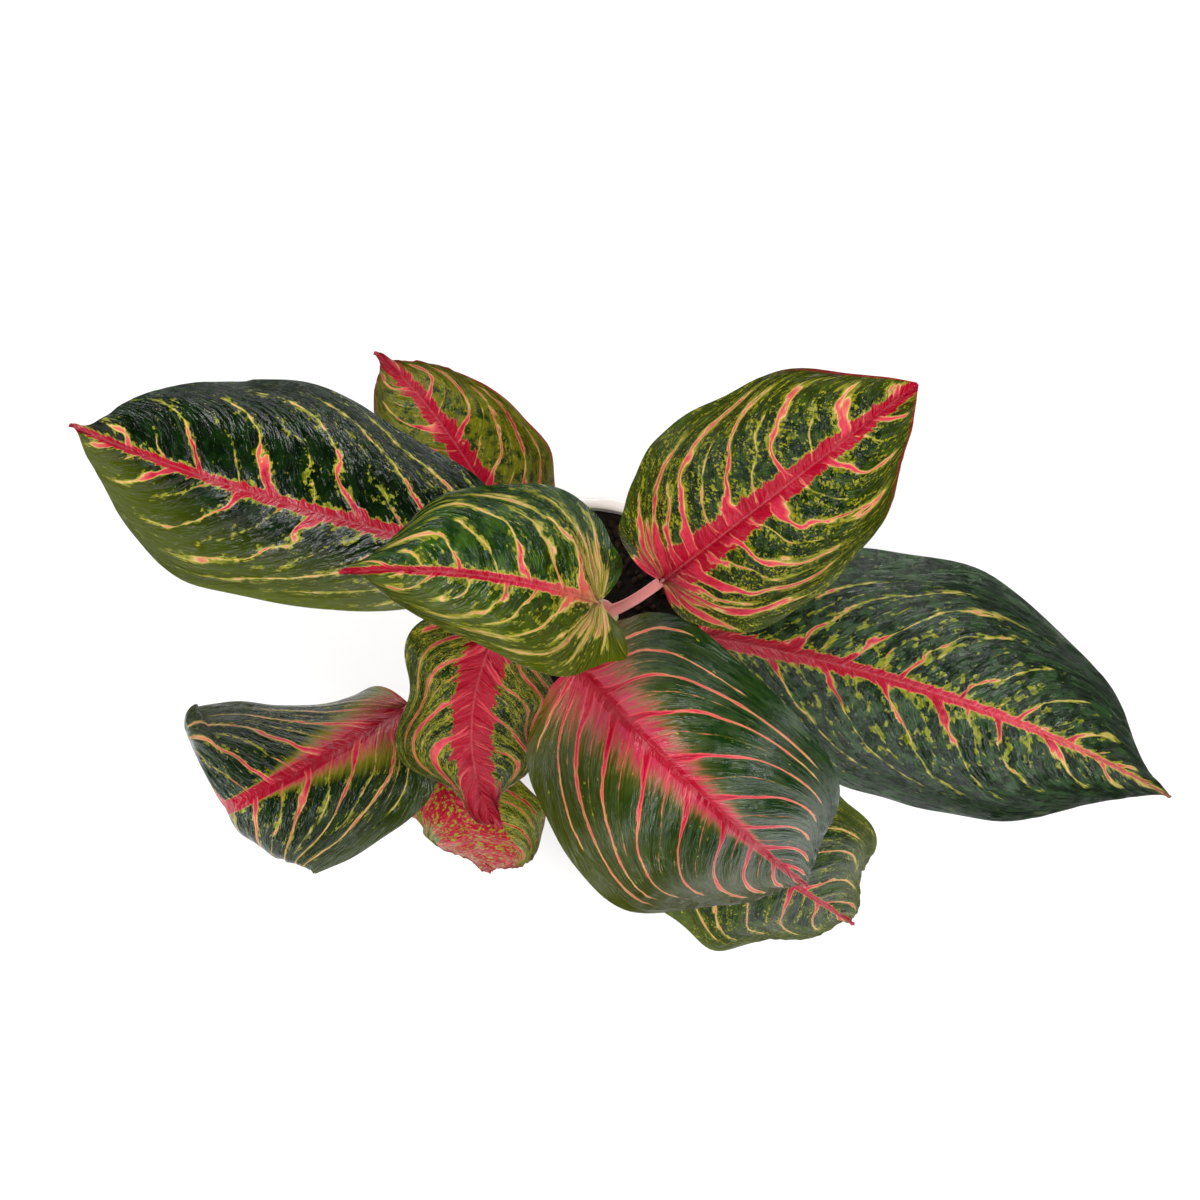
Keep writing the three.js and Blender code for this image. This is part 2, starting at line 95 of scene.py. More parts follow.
LEAVES = [
    leaf(
        1, "left", foot=(142, 139), base=(-24, 31, 240), length=205, width=(43, 50),
        heading=(169, -12), pitch=(8, -24), roll=(14, 3), bend_at=0.35, bend_over=1.1, fold=20,
        curl=(15, 50), lobe=(8, 8), taper=3.3, belly=0.95, start=0,
    ),
    leaf(
        2, "back_left", foot=(186, 121), base=(-29, 34, 172), length=132, width=(36, 32),
        heading=(109, 30), pitch=(55, -38), roll=(12, 18), bend_at=0.45, bend_over=0.7, fold=8,
        curl=(12, 25), lobe=(8, 8), taper=3.4, belly=1.35, wave=0.9, start=1,
    ),
    leaf(
        3, "top", foot=(100, 150), reach=(0.5, 0.08), base=(6, 15, 292), length=106,
        width=(31, 37), heading=(161, 23), pitch=(50, -20), roll=(16, 8), bend_at=0.5,
        bend_over=1.1, fold=22, curl=(25, 40), lobe=(48, 22), taper=3.8, belly=1.35, start=2,
    ),
    leaf(
        4, "back_right", foot=(56, 146), base=(29, 23, 282), length=135, width=(41, 38),
        heading=(38, 0), pitch=(60, 6), roll=(2, -14), bend_at=0.47, bend_over=1, fold=22,
        curl=(12, 25), lobe=(11, 11), taper=2.2, belly=1, wave=0.9, start=3,
    ),
    leaf(
        5, "right", foot=(-14, 124), base=(48, 1, 185), length=220, width=(52, 53),
        heading=(-9, -20), pitch=(20, -23), roll=(9, -11), bend_at=0.45, bend_over=0.9, fold=10,
        curl=(20, 55), lobe=(20, 20), taper=3.4, belly=1.2, waves=5, start=4,
    ),
    leaf(
        6, "front_right", foot=(236, 134), base=(-3, -10, 232), length=182, width=(49, 52),
        heading=(-46, 4), pitch=(58, -52), roll=(11, 18), bend_at=0.42, bend_over=0.6, fold=20,
        curl=(30, 14), lobe=(9, 9), taper=3.4, belly=1.15, wave=1.2, start=5,
    ),
    leaf(
        7, "low_right", foot=(-80, 118), base=(11, -52, 150), length=190, width=(47, 47),
        heading=(-35, -4), pitch=(5, -56), roll=(9, 11), bend_at=0.35, bend_over=0.8, fold=8,
        curl=(12, 25), lobe=(13, 13), taper=3.3, belly=1.1, wave=2.2, waves=5, start=0.5,
    ),
    leaf(
        8, "front", cane="side", foot=(100, 128), base=(-30, 12, 225), length=107,
        width=(33, 30), heading=(-123, 62), pitch=(8, -38), roll=(-3, 10), bend_at=0.35,
        bend_over=0.95, fold=8, curl=(55, 15), lobe=(10, 10), taper=3.4, belly=1.4, wave=4,
        waves=4.6, start=0.45,
    ),
    leaf(
        9, "low_front", cane="side", foot=(240, 116), base=(-71, -45, 160), length=103,
        width=(33, 26), heading=(-57, -26), pitch=(5, -66), roll=(12, 18), bend_at=0.35,
        bend_over=0.7, fold=8, curl=(37, 55), lobe=(8, 8), taper=3.3, belly=1, start=2.5,
    ),
    leaf(
        10, "low_left", cane="side", foot=(180, 122), base=(-74, -28, 175), length=163,
        width=(47, 46), heading=(213, -12), pitch=(30, -16), roll=(45, -26), bend_at=0.5,
        bend_over=1, fold=4, curl=(65, 45), lobe=(4, 4), taper=2.2, belly=1.35, wave=6, waves=2,
        start=-1.5, droop=SimpleNamespace(at=0.48, turn=8, angle=85, radius=12),
    ),
]


def srgb(red, green, blue):
    """A screen colour, 0 to 255, as the renderer's linear colour."""
    def linear(level):
        level /= 255
        return level / 12.92 if level <= 0.04045 else ((level + 0.055) / 1.055) ** 2.4

    return (linear(red), linear(green), linear(blue), 1.0)


# Leaf colours
DEEP_GREEN = srgb(16, 44, 8)
GREEN = srgb(48, 76, 16)
OLIVE = srgb(92, 100, 6)
MOSS = srgb(112, 112, 18)
LIME = srgb(156, 154, 44)
STRAW = srgb(176, 160, 74)
CREAM = srgb(216, 178, 112)
SALMON = srgb(208, 106, 84)
PINK = srgb(202, 46, 70)
CRIMSON = srgb(160, 0, 34)
WINE = srgb(112, 4, 22)
ROSE_WHITE = srgb(226, 160, 156)
ROSE = srgb(190, 34, 72)
RUSSET = srgb(116, 52, 44)
GREY_GREEN = srgb(112, 124, 92)
VEIN_COLOURS = [(0.0, STRAW), (0.25, CREAM), (0.5, SALMON), (0.75, PINK), (1.0, CRIMSON)]

# Colours of the petioles and canes
SHEATH_GREEN = srgb(150, 160, 96)
STALK_CREAM = srgb(196, 176, 140)
STALK_PINK = srgb(214, 128, 124)
CANE_GREEN = srgb(84, 104, 40)
CANE_LIGHT = srgb(128, 138, 74)
SCAR_BROWN = srgb(158, 136, 98)

# Colours of the pot and the soil
GLAZE = srgb(232, 224, 218)
GLAZE_SHADE = srgb(216, 204, 196)
GLAZE_SPECK = srgb(170, 156, 144)
BARE_CLAY = srgb(176, 150, 126)
SOIL_DARK = srgb(9, 6, 5)
SOIL_LIGHT = srgb(28, 19, 14)
CRUMB_DARK = srgb(16, 10, 8)
CRUMB_LIGHT = srgb(52, 34, 24)


def look(**changes):
    """How a leaf is coloured. Lengths are in millimetres; a share runs from 0 to 1.

    Green: `deep` and `ground` are the dark and light parts, `dark` is the share of the dark ones
    and `blotch` their size. `border` is the margin's colour, `border_depth` how strong it is,
    `border_share` how far in it reaches and `border_side` its half: 1 left, -1 right, 0 both.

    Veins: `veins` counts the side veins of each half, thin ones included, and `fan` those that
    leave the base. `sweep` is how far a vein runs forwards, as a share of what lies ahead of it,
    `reaching` the share of the way out that it goes. `vein` and `thin` are half widths, `flare`
    how much wider they are at the midrib, over `flare_length`, `root` round the base, over
    `root_length`. `taper` is the share of the width that they lose, `swelling` how uneven it is,
    `breaks` how broken they are, `ragged` how torn, `blush` how red at the midrib, `fading` how
    much of that they lose by the margin.

    Midrib: `midrib` is its half width at base and tip, `teeth` how far its edge is torn,
    `islands` how far it breaks up, `web` how round the corners with the veins are, `depth` how
    red it is, `reddening` how much redder everything gets towards the tip, `core` how pale its
    middle line is. `glow` is how far the red runs out softly at the base, `glow_end` the share
    of the length where that ends, `halo` how mossy the green beside it is. `flecks` is the share
    of green holes in the red, `edging` how pale the red's edges are, `fringe` how wide the
    yellowish border round it.

    Spots: `speckle` is how much of the green they cover, `gather` how much they keep to the
    veins, `clumps` how uneven they are, `clearing` how much they thin out towards the margin,
    `spot` their size, `stretch` their length for their width, `spot_colour` their paler colour.

    Surface: `gloss` is the roughness, `shine` how strongly it mirrors, `wrinkles` how deep they
    are. `rim` is the margin's line from the share `rim_from` on, `tip` and `tip_from` are the
    same for the point. `luck` picks the run of the random patterns.
    """
    values = dict(
        deep=DEEP_GREEN, ground=GREEN, dark=0.52, blotch=4.0,
        border=OLIVE, border_depth=0.5, border_share=0.4, border_side=0,
        veins=14, fan=4, sweep=0.72, reaching=0.95, vein=0.6, thin=0.25, flare=1.6,
        flare_length=5.0, root=0.0, root_length=9.0, taper=0.6, swelling=1.6, breaks=0.5,
        ragged=1.0, blush=0.75, fading=0.8,
        midrib=(3.0, 0.5), teeth=9.0, islands=0.0, web=0.7, depth=0.75, reddening=0.0, core=0.1,
        glow=0.0, glow_end=0.85, halo=0.5, flecks=0.0, edging=1.0, fringe=0.35,
        speckle=0.2, gather=0.15, clumps=0.5, clearing=0.0, spot=1.6, stretch=2.2,
        spot_colour=LIME, gloss=0.26, shine=0.16, wrinkles=1.0,
        rim=RUSSET, rim_from=0.9, tip=CRIMSON, tip_from=0.96, luck=1,
    )
    values.update(changes)
    return SimpleNamespace(**values)


LOOKS = {
    "leaf_01_left": look(
        deep=srgb(4, 18, 2), ground=srgb(14, 38, 6), border=srgb(84, 94, 2), border_depth=0.8,
        border_share=0.7, border_side=1, veins=11.5, sweep=0.62, vein=0.3, thin=-0.2, flare=3.4,
        flare_length=8, breaks=1.8, ragged=1.3, midrib=(4.2, 0.7), teeth=14, depth=1, edging=0.85,
        fringe=0.25, speckle=0.1, gather=0.28, clearing=0.03, spot=1.2, stretch=3,
        spot_colour=srgb(150, 150, 40), gloss=0.2, shine=0.5, wrinkles=0.7, tip=WINE, luck=13,
    ),
    "leaf_02_back_left": look(
        deep=srgb(22, 44, 8), ground=srgb(100, 102, 8), dark=0.47, blotch=5,
        border=srgb(104, 100, 10), veins=11, vein=0.45, thin=0, flare=2, flare_length=7,
        taper=0.3, swelling=1.8, breaks=1, ragged=1.3, blush=0.5, fading=0.15, midrib=(7, 1.6),
        teeth=24, islands=12, edging=0.5, speckle=0.34, gather=0.05, spot=1.3, stretch=1.2,
        spot_colour=srgb(140, 136, 22), shine=0.18, rim=CRIMSON, rim_from=0.1, tip_from=0.88,
    ),
    "leaf_03_top": look(
        deep=srgb(14, 44, 4), ground=srgb(46, 76, 6), border=srgb(84, 92, 8), border_depth=0.8,
        border_share=0.9, border_side=1, veins=8, fan=5, vein=0.36, flare=0.8, root=2.4,
        root_length=15, taper=0.45, swelling=1.1, breaks=0.7, ragged=1.5, blush=0.25, fading=0.3,
        midrib=(2.6, 1.2), teeth=6, depth=0.42, reddening=1.3, speckle=0.12, gather=0.24,
        clumps=0.9, stretch=2.4, gloss=0.18, shine=0.4, tip_from=0.93, luck=7,
    ),
    "leaf_04_back_right": look(
        deep=srgb(10, 32, 4), ground=srgb(44, 66, 6), dark=0.55, blotch=3.5, border_depth=0.3,
        veins=11, vein=0.5, thin=-0.1, flare=3, flare_length=7, root=4, root_length=22, taper=0.5,
        swelling=0.8, breaks=0.6, ragged=1.6, blush=0.5, fading=0.2, midrib=(9.5, 0.9), teeth=15,
        islands=4, web=2, depth=1.15, edging=0.7, fringe=0.6, speckle=0.34, gather=0.1,
        clumps=0.7, spot=1.3, stretch=1.3, spot_colour=srgb(150, 146, 26), gloss=0.22, shine=0.32,
        rim=CRIMSON, rim_from=0.72, luck=10,
    ),
    "leaf_05_right": look(
        # This leaf's deep and ground greens are greyish: its own green with part of an even sheen
        # painted into them.
        deep=srgb(16, 34, 14), ground=srgb(42, 68, 34), blotch=5, border_depth=0, veins=17,
        reaching=0.85, vein=0.2, thin=-0.3, flare=2.4, flare_length=7, taper=0.9, swelling=1.8,
        breaks=1.3, ragged=1.5, midrib=(4, 0.2), teeth=10, reddening=-1, speckle=0.27,
        gather=0.24, clumps=1.1, clearing=0.25, spot=2.6, stretch=1.6,
        spot_colour=srgb(146, 150, 36), gloss=0.24, shine=0.6, wrinkles=1.1, tip=RUSSET, luck=10,
    ),
    "leaf_06_front_right": look(
        ground=srgb(38, 60, 20), border=srgb(70, 72, 12), border_depth=0.7, border_share=0.8,
        border_side=-1, veins=17, vein=0.5, thin=0, flare=1.8, flare_length=11, taper=0.65,
        swelling=0.6, ragged=0.6, blush=0.7, fading=0.4, midrib=(3.4, 0.9), teeth=5, depth=1,
        core=0, glow=24, halo=0.2, edging=0.1, speckle=0.04, gather=0.06, gloss=0.18, shine=0.45,
        wrinkles=0.4,
    ),
    "leaf_07_low_right": look(
        deep=srgb(16, 36, 8), ground=srgb(52, 72, 14), border_share=0.3, veins=13, thin=-0.1,
        swelling=1, breaks=0.8, ragged=0.9, blush=0.5, fading=0.3, midrib=(2.4, 0.7), teeth=3,
        edging=0.4, speckle=0.22, spot=1.1, stretch=2, gloss=0.3, shine=0.12, wrinkles=0.5,
    ),
    "leaf_08_front": look(
        deep=srgb(8, 28, 3), ground=srgb(34, 56, 8), blotch=3.5, border=srgb(70, 78, 6),
        border_depth=0.45, veins=12, vein=0.5, thin=0, flare=0.6, taper=0.3, swelling=0.5,
        breaks=0.3, ragged=1.2, blush=0.6, fading=0.1, midrib=(9, 6.5), teeth=8, islands=22,
        depth=1.35, core=0.12, edging=0.35, speckle=0.42, spot=0.7, stretch=1.4,
        spot_colour=srgb(150, 146, 30), shine=0.3, rim=ROSE_WHITE, rim_from=0.75, tip_from=0.78,
    ),
    "leaf_09_low_front": look(
        ground=OLIVE, blotch=3, veins=12, vein=0.7, thin=0.1, flare=0.6, taper=0.3, swelling=0.8,
        ragged=1.2, blush=0.7, fading=0.1, midrib=(18, 14), teeth=4, islands=20, depth=1.3,
        flecks=0.08, edging=0.5, speckle=0.5, spot=1, stretch=1.4, gloss=0.36, shine=0.12,
        rim_from=0.2, tip_from=0.9,
    ),
    "leaf_10_low_left": look(
        deep=srgb(10, 30, 6), ground=srgb(30, 50, 18), border_depth=0.2, vein=0.55, thin=0.05,
        flare=1.4, flare_length=9, swelling=0.9, breaks=0.4, ragged=0.9, blush=0.55, fading=0.4,
        midrib=(4.6, 1), teeth=3, depth=1.3, core=0, glow=15, glow_end=0.62, halo=0.9, edging=0.3,
        speckle=0.1, gather=0.25, clumps=0.6, clearing=0.1, spot=1.2, stretch=3, gloss=0.18,
        shine=0.6,
    ),
}


# Shape of a blade: how round its base is, its narrowest half width, how close the rows lie at the
# base, how far the right half's waves lag behind, and the small uneven wobble of the margin
BASE_ROUNDNESS = 0.9
LEAST_HALF_WIDTH = 0.7
ROW_SPREAD = 1.4
WAVE_SHIFT = 1.9
EDGE_WOBBLE = 2.2
EDGE_WOBBLES = 11
WOBBLE_SPREAD = 5
MIDRIB_STEPS = 60

# Course of the side veins: how much of its run forwards a vein makes evenly, and how late it
# makes the rest; how much they crowd towards the tip; the number that the right half's start at
EVEN_RUN = 0.4
LATE_RUN = 5
CROWDING = 1.1
SIDE_SHIFT = 40.7
LARGEST_GAP = 40


def mix(low, high, share):
    return low + (high - low) * share


def clamp(value, low=0.0, high=1.0):
    return max(low, min(high, value))


def smooth_step(value):
    value = clamp(value)
    return value * value * (3 - 2 * value)


class Blade:
    """A leaf's middle surface in millimetres, from the same measures as its solid.

    Row u runs from 0 at the base to 1 at the tip, column v from -1 at the right margin to 1 at
    the left one.
    """

    def __init__(self, measures, pattern):
        self.measures = measures
        self.pattern = pattern
        point = Vector(measures.base)
        self.midrib = [point.copy()]
        for step in range(MIDRIB_STEPS):
            along = self.directions((step + 0.5) / MIDRIB_STEPS)[0]
            point += along * (measures.length / MIDRIB_STEPS)
            self.midrib.append(point.copy())

    def directions(self, share):
        """Along the midrib, to the left and up, at a share of its length."""
        leaf = self.measures
        bent = smooth_step((share - leaf.bend_at + leaf.bend_over / 2) / leaf.bend_over)
        heading = math.radians(leaf.heading[0] + leaf.heading[1] * share)
        pitch = math.radians(mix(*leaf.pitch, bent))
        along = Vector((
            math.cos(pitch) * math.cos(heading),
            math.cos(pitch) * math.sin(heading),
            math.sin(pitch),
        ))
        roll = Matrix.Rotation(math.radians(mix(*leaf.roll, share)), 3, along)
        left = roll @ Vector((-math.sin(heading), math.cos(heading), 0))
        return along, left, along.cross(left)

    def on_midrib(self, share):
        """The midrib's point at a share of its length."""
        place = clamp(share) * MIDRIB_STEPS
        step = min(int(place), MIDRIB_STEPS - 1)
        return self.midrib[step].lerp(self.midrib[step + 1], place - step)

    def margin_wave(self, u, side):
        """How far the margin's wave moves it out and up."""
        leaf = self.measures
        return leaf.wave * math.sin(2 * math.pi * leaf.waves * u + leaf.start + side * WAVE_SHIFT)

    def flat_place(self, u, v):
        """Where row u and column v lie on the flat leaf: along the midrib and to the left."""
        leaf = self.measures
        bow = math.sin(math.pi * u)
        side = 0 if v >= 0 else 1
        reach = leaf.width[side] * max(bow, 0) ** mix(BASE_ROUNDNESS, leaf.taper, u)
        wobble = EDGE_WOBBLE * noise.noise(Vector((u * EDGE_WOBBLES, side * WOBBLE_SPREAD, leaf.length)))
        reach += LEAST_HALF_WIDTH + (wobble + self.margin_wave(u, side)) * bow
        at_margin = leaf.length * ((1 - math.cos(math.pi * u)) / 2) ** leaf.belly
        at_margin -= leaf.lobe[side] * bow * (1 - u) ** 2
        out = abs(v)
        return mix(leaf.length * u ** ROW_SPREAD, at_margin, (out + out * out) / 2), reach * v

    def drooped(self, point):
        """Folds what lies past the droop line down, round an arc."""
        leaf, droop = self.measures, self.measures.droop
        heading = math.radians(leaf.heading[0] + leaf.heading[1] * droop.at + droop.turn)
        outward = Vector((math.cos(heading), math.sin(heading), 0))
        past = point - self.on_midrib(droop.at)
        distance = past.dot(outward)
        if distance <= 0:
            return point
        bent = min(distance / droop.radius, math.radians(droop.angle))
        straight = distance - bent * droop.radius
        sine, cosine = math.sin(bent), math.cos(bent)
        out = droop.radius * sine + straight * cosine + past.z * sine
        down = droop.radius * (1 - cosine) + straight * sine - past.z * cosine
        return point + outward * (out - distance) + Vector((0, 0, -down - past.z))

    def point(self, u, v):
        """Where row u and column v lie in space."""
        leaf = self.measures
        x, y = self.flat_place(u, v)
        share = x / leaf.length
        side = 0 if v >= 0 else 1
        along, left, up = self.directions(clamp(share))
        fold = math.radians(leaf.fold)
        turn = math.radians(leaf.curl[side]) / leaf.width[side]
        out = abs(y)
        sideways = (math.sin(fold) - math.sin(fold - turn * out)) / turn
        rise = (math.cos(fold - turn * out) - math.cos(fold)) / turn
        rise += self.margin_wave(u, side) * abs(v) ** 3 * math.sin(math.pi * u)
        place = self.on_midrib(share) + along * min(x, 0)
        place += left * math.copysign(sideways, v) + up * rise
        return self.drooped(place) if leaf.droop else place

    def vein_number(self, u, v):
        """Which side vein passes here, counted from the base: whole numbers lie on a vein.

        A vein leaves the midrib forwards, and bends until it runs along the margin. The first
        ones all leave the base of the blade.
        """
        pattern, out = self.pattern, abs(v)
        share = self.flat_place(u, v)[0] / self.measures.length
        run = pattern.sweep * mix(out ** LATE_RUN, out, EVEN_RUN)
        if share >= run:
            return pattern.fan + pattern.veins * ((share - run) / (1 - run)) ** CROWDING
        return pattern.fan * share / run

    def vein_gap(self, u, v):
        """How far apart the side veins are here, in millimetres."""
        step = 0.004
        u = clamp(u, 2 * step, 1 - 2 * step)
        v = math.copysign(clamp(abs(v), 2 * step, 1 - 2 * step), v)
        rows = [(u - step, v), (u + step, v)]
        columns = [(u, v - step), (u, v + step)]

        def change(low, high):
            """How fast the place on the flat leaf and the vein number change."""
            low_place, high_place = Vector(self.flat_place(*low)), Vector(self.flat_place(*high))
            numbers = self.vein_number(*high) - self.vein_number(*low)
            return (high_place - low_place) / (2 * step), numbers / (2 * step)

        place_u, number_u = change(*rows)
        place_v, number_v = change(*columns)
        steepest = place_v.yx * number_u - place_u.yx * number_v
        return min(abs(place_u.cross(place_v)) / max(steepest.length, 1e-6), LARGEST_GAP)


# Materials, written as arithmetic on fields


class Field:
    """A number that changes over a surface. Arithmetic on it adds nodes to its material."""

    def __init__(self, paint, socket):
        self.paint = paint
        self.socket = socket

    def math(self, operation, *others):
        return self.paint.math(operation, self, *others)

    def __add__(self, other):
        return self.math("ADD", other)

    def __radd__(self, other):
        return self.math("ADD", other)

    def __sub__(self, other):
        return self.math("SUBTRACT", other)

    def __rsub__(self, other):
        return self.paint.math("SUBTRACT", other, self)

    def __mul__(self, other):
        return self.math("MULTIPLY", other)

    def __rmul__(self, other):
        return self.math("MULTIPLY", other)

    def __truediv__(self, other):
        return self.math("DIVIDE", other)

    def __pow__(self, power):
        return self.math("POWER", power)

    def __abs__(self):
        return self.math("ABSOLUTE")

    def step(self, low, high):
        """Rises smoothly from 0 at low to 1 at high."""
        return self.paint.map_range("SMOOTHSTEP", self, low, high)

    def ramp(self, low, high):
        """Rises straight from 0 at low to 1 at high."""
        return self.paint.map_range("LINEAR", self, low, high)


class Paint:
    """A material that is built node by node."""

    def __init__(self, name):
        self.material = bpy.data.materials.new(name)
        self.material.use_nodes = True
        self.nodes = self.material.node_tree.nodes
        self.shader = self.nodes["Principled BSDF"]

    def add(self, kind):
        node = self.nodes.new(kind)
        place = len(self.nodes)
        node.location = (-200 * (place % 16) - 300, 220 * (place // 16) - 600)
        return node

    def set(self, socket, value):
        if isinstance(value, Field):
            self.material.node_tree.links.new(value.socket, socket)
        else:
            socket.default_value = value

    def math(self, operation, *values):
        node = self.add("ShaderNodeMath")
        node.operation = operation
        for socket, value in zip(node.inputs, values):
            self.set(socket, value)
        return Field(self, node.outputs[0])

    def map_range(self, kind, value, low, high):
        node = self.add("ShaderNodeMapRange")
        node.interpolation_type = kind
        self.set(node.inputs["Value"], value)
        self.set(node.inputs["From Min"], low)
        self.set(node.inputs["From Max"], high)
        return Field(self, node.outputs["Result"])

    def parts(self, socket):
        node = self.add("ShaderNodeSeparateXYZ")
        self.material.node_tree.links.new(socket, node.inputs[0])
        return [Field(self, output) for output in node.outputs]

    def map(self, name):
        """The two numbers that the mesh keeps in one of its UV maps."""
        node = self.add("ShaderNodeUVMap")
        node.uv_map = name
        return self.parts(node.outputs[0])[:2]

    def position(self):
        """Where the point is in the object, in metres."""
        return self.parts(self.add("ShaderNodeTexCoord").outputs["Object"])

    def vector(self, x, y, z=0.0):
        node = self.add("ShaderNodeCombineXYZ")
        for socket, value in zip(node.inputs, (x, y, z)):
            self.set(socket, value)
        return Field(self, node.outputs[0])

    def noise(self, place, scale, detail=2.0, roughness=0.5):
        node = self.add("ShaderNodeTexNoise")
        self.set(node.inputs["Vector"], place)
        node.inputs["Scale"].default_value = scale
        node.inputs["Detail"].default_value = detail
        node.inputs["Roughness"].default_value = roughness
        return Field(self, node.outputs[0])

    def luck(self, number):
        """A random value from 0 to 1 that is the same wherever the number is."""
        node = self.add("ShaderNodeTexWhiteNoise")
        node.noise_dimensions = "1D"
        self.set(node.inputs["W"], number)
        return Field(self, node.outputs["Value"])

    def blend(self, first, second, share):
        node = self.add("ShaderNodeMix")
        node.data_type = "RGBA"
        self.set(node.inputs[0], share)
        self.set(node.inputs[6], first)
        self.set(node.inputs[7], second)
        return Field(self, node.outputs[2])

    def fall_off(self, distance, length):
        """Falls from 1 towards 0, to about a third with every length."""
        return self.math("EXPONENT", distance * (-1 / length))

    def colours(self, share, stops):
        """The colour at a share of the way through [(place, colour), ...]."""
        node = self.add("ShaderNodeValToRGB")
        self.set(node.inputs[0], share)
        ramp = node.color_ramp
        while len(ramp.elements) < len(stops):
            ramp.elements.new(0.5)
        for element, (place, colour) in zip(ramp.elements, stops):
            element.position = place
            element.color = colour
        return Field(self, node.outputs[0])

    def bump(self, height, distance, strength=1.0, under=None):
        node = self.add("ShaderNodeBump")
        node.inputs["Strength"].default_value = strength
        node.inputs["Distance"].default_value = distance
        self.set(node.inputs["Height"], height)
        if under is not None:
            self.set(node.inputs["Normal"], under)
        return Field(self, node.outputs[0])

    def finish(self, colour, roughness, normal=None, **constants):
        self.set(self.shader.inputs["Base Color"], colour)
        self.set(self.shader.inputs["Roughness"], roughness)
        if normal is not None:
            self.set(self.shader.inputs["Normal"], normal)
        for name, value in constants.items():
            socket = name.replace("_", " ").title().replace("Ior", "IOR")
            self.shader.inputs[socket].default_value = value
        return self.material


# Leaf patterns, in millimetres. Streaks take the gap between two side veins as STREAK_GAP wide.
# The spreads keep the noise of neighbouring veins and of leaves apart; a vein is no wider than
# WIDEST_VEIN of its gap to each side.
STREAK_GAP = 9.0
FLECK_SIZE = 2.2
VEIN_SPREAD = 7.3
SEED_SPREAD = 3.7
WIDEST_VEIN = 0.4
WRINKLE_DEPTH = 4 * MM
SKIN_DEPTH = 0.13 * MM


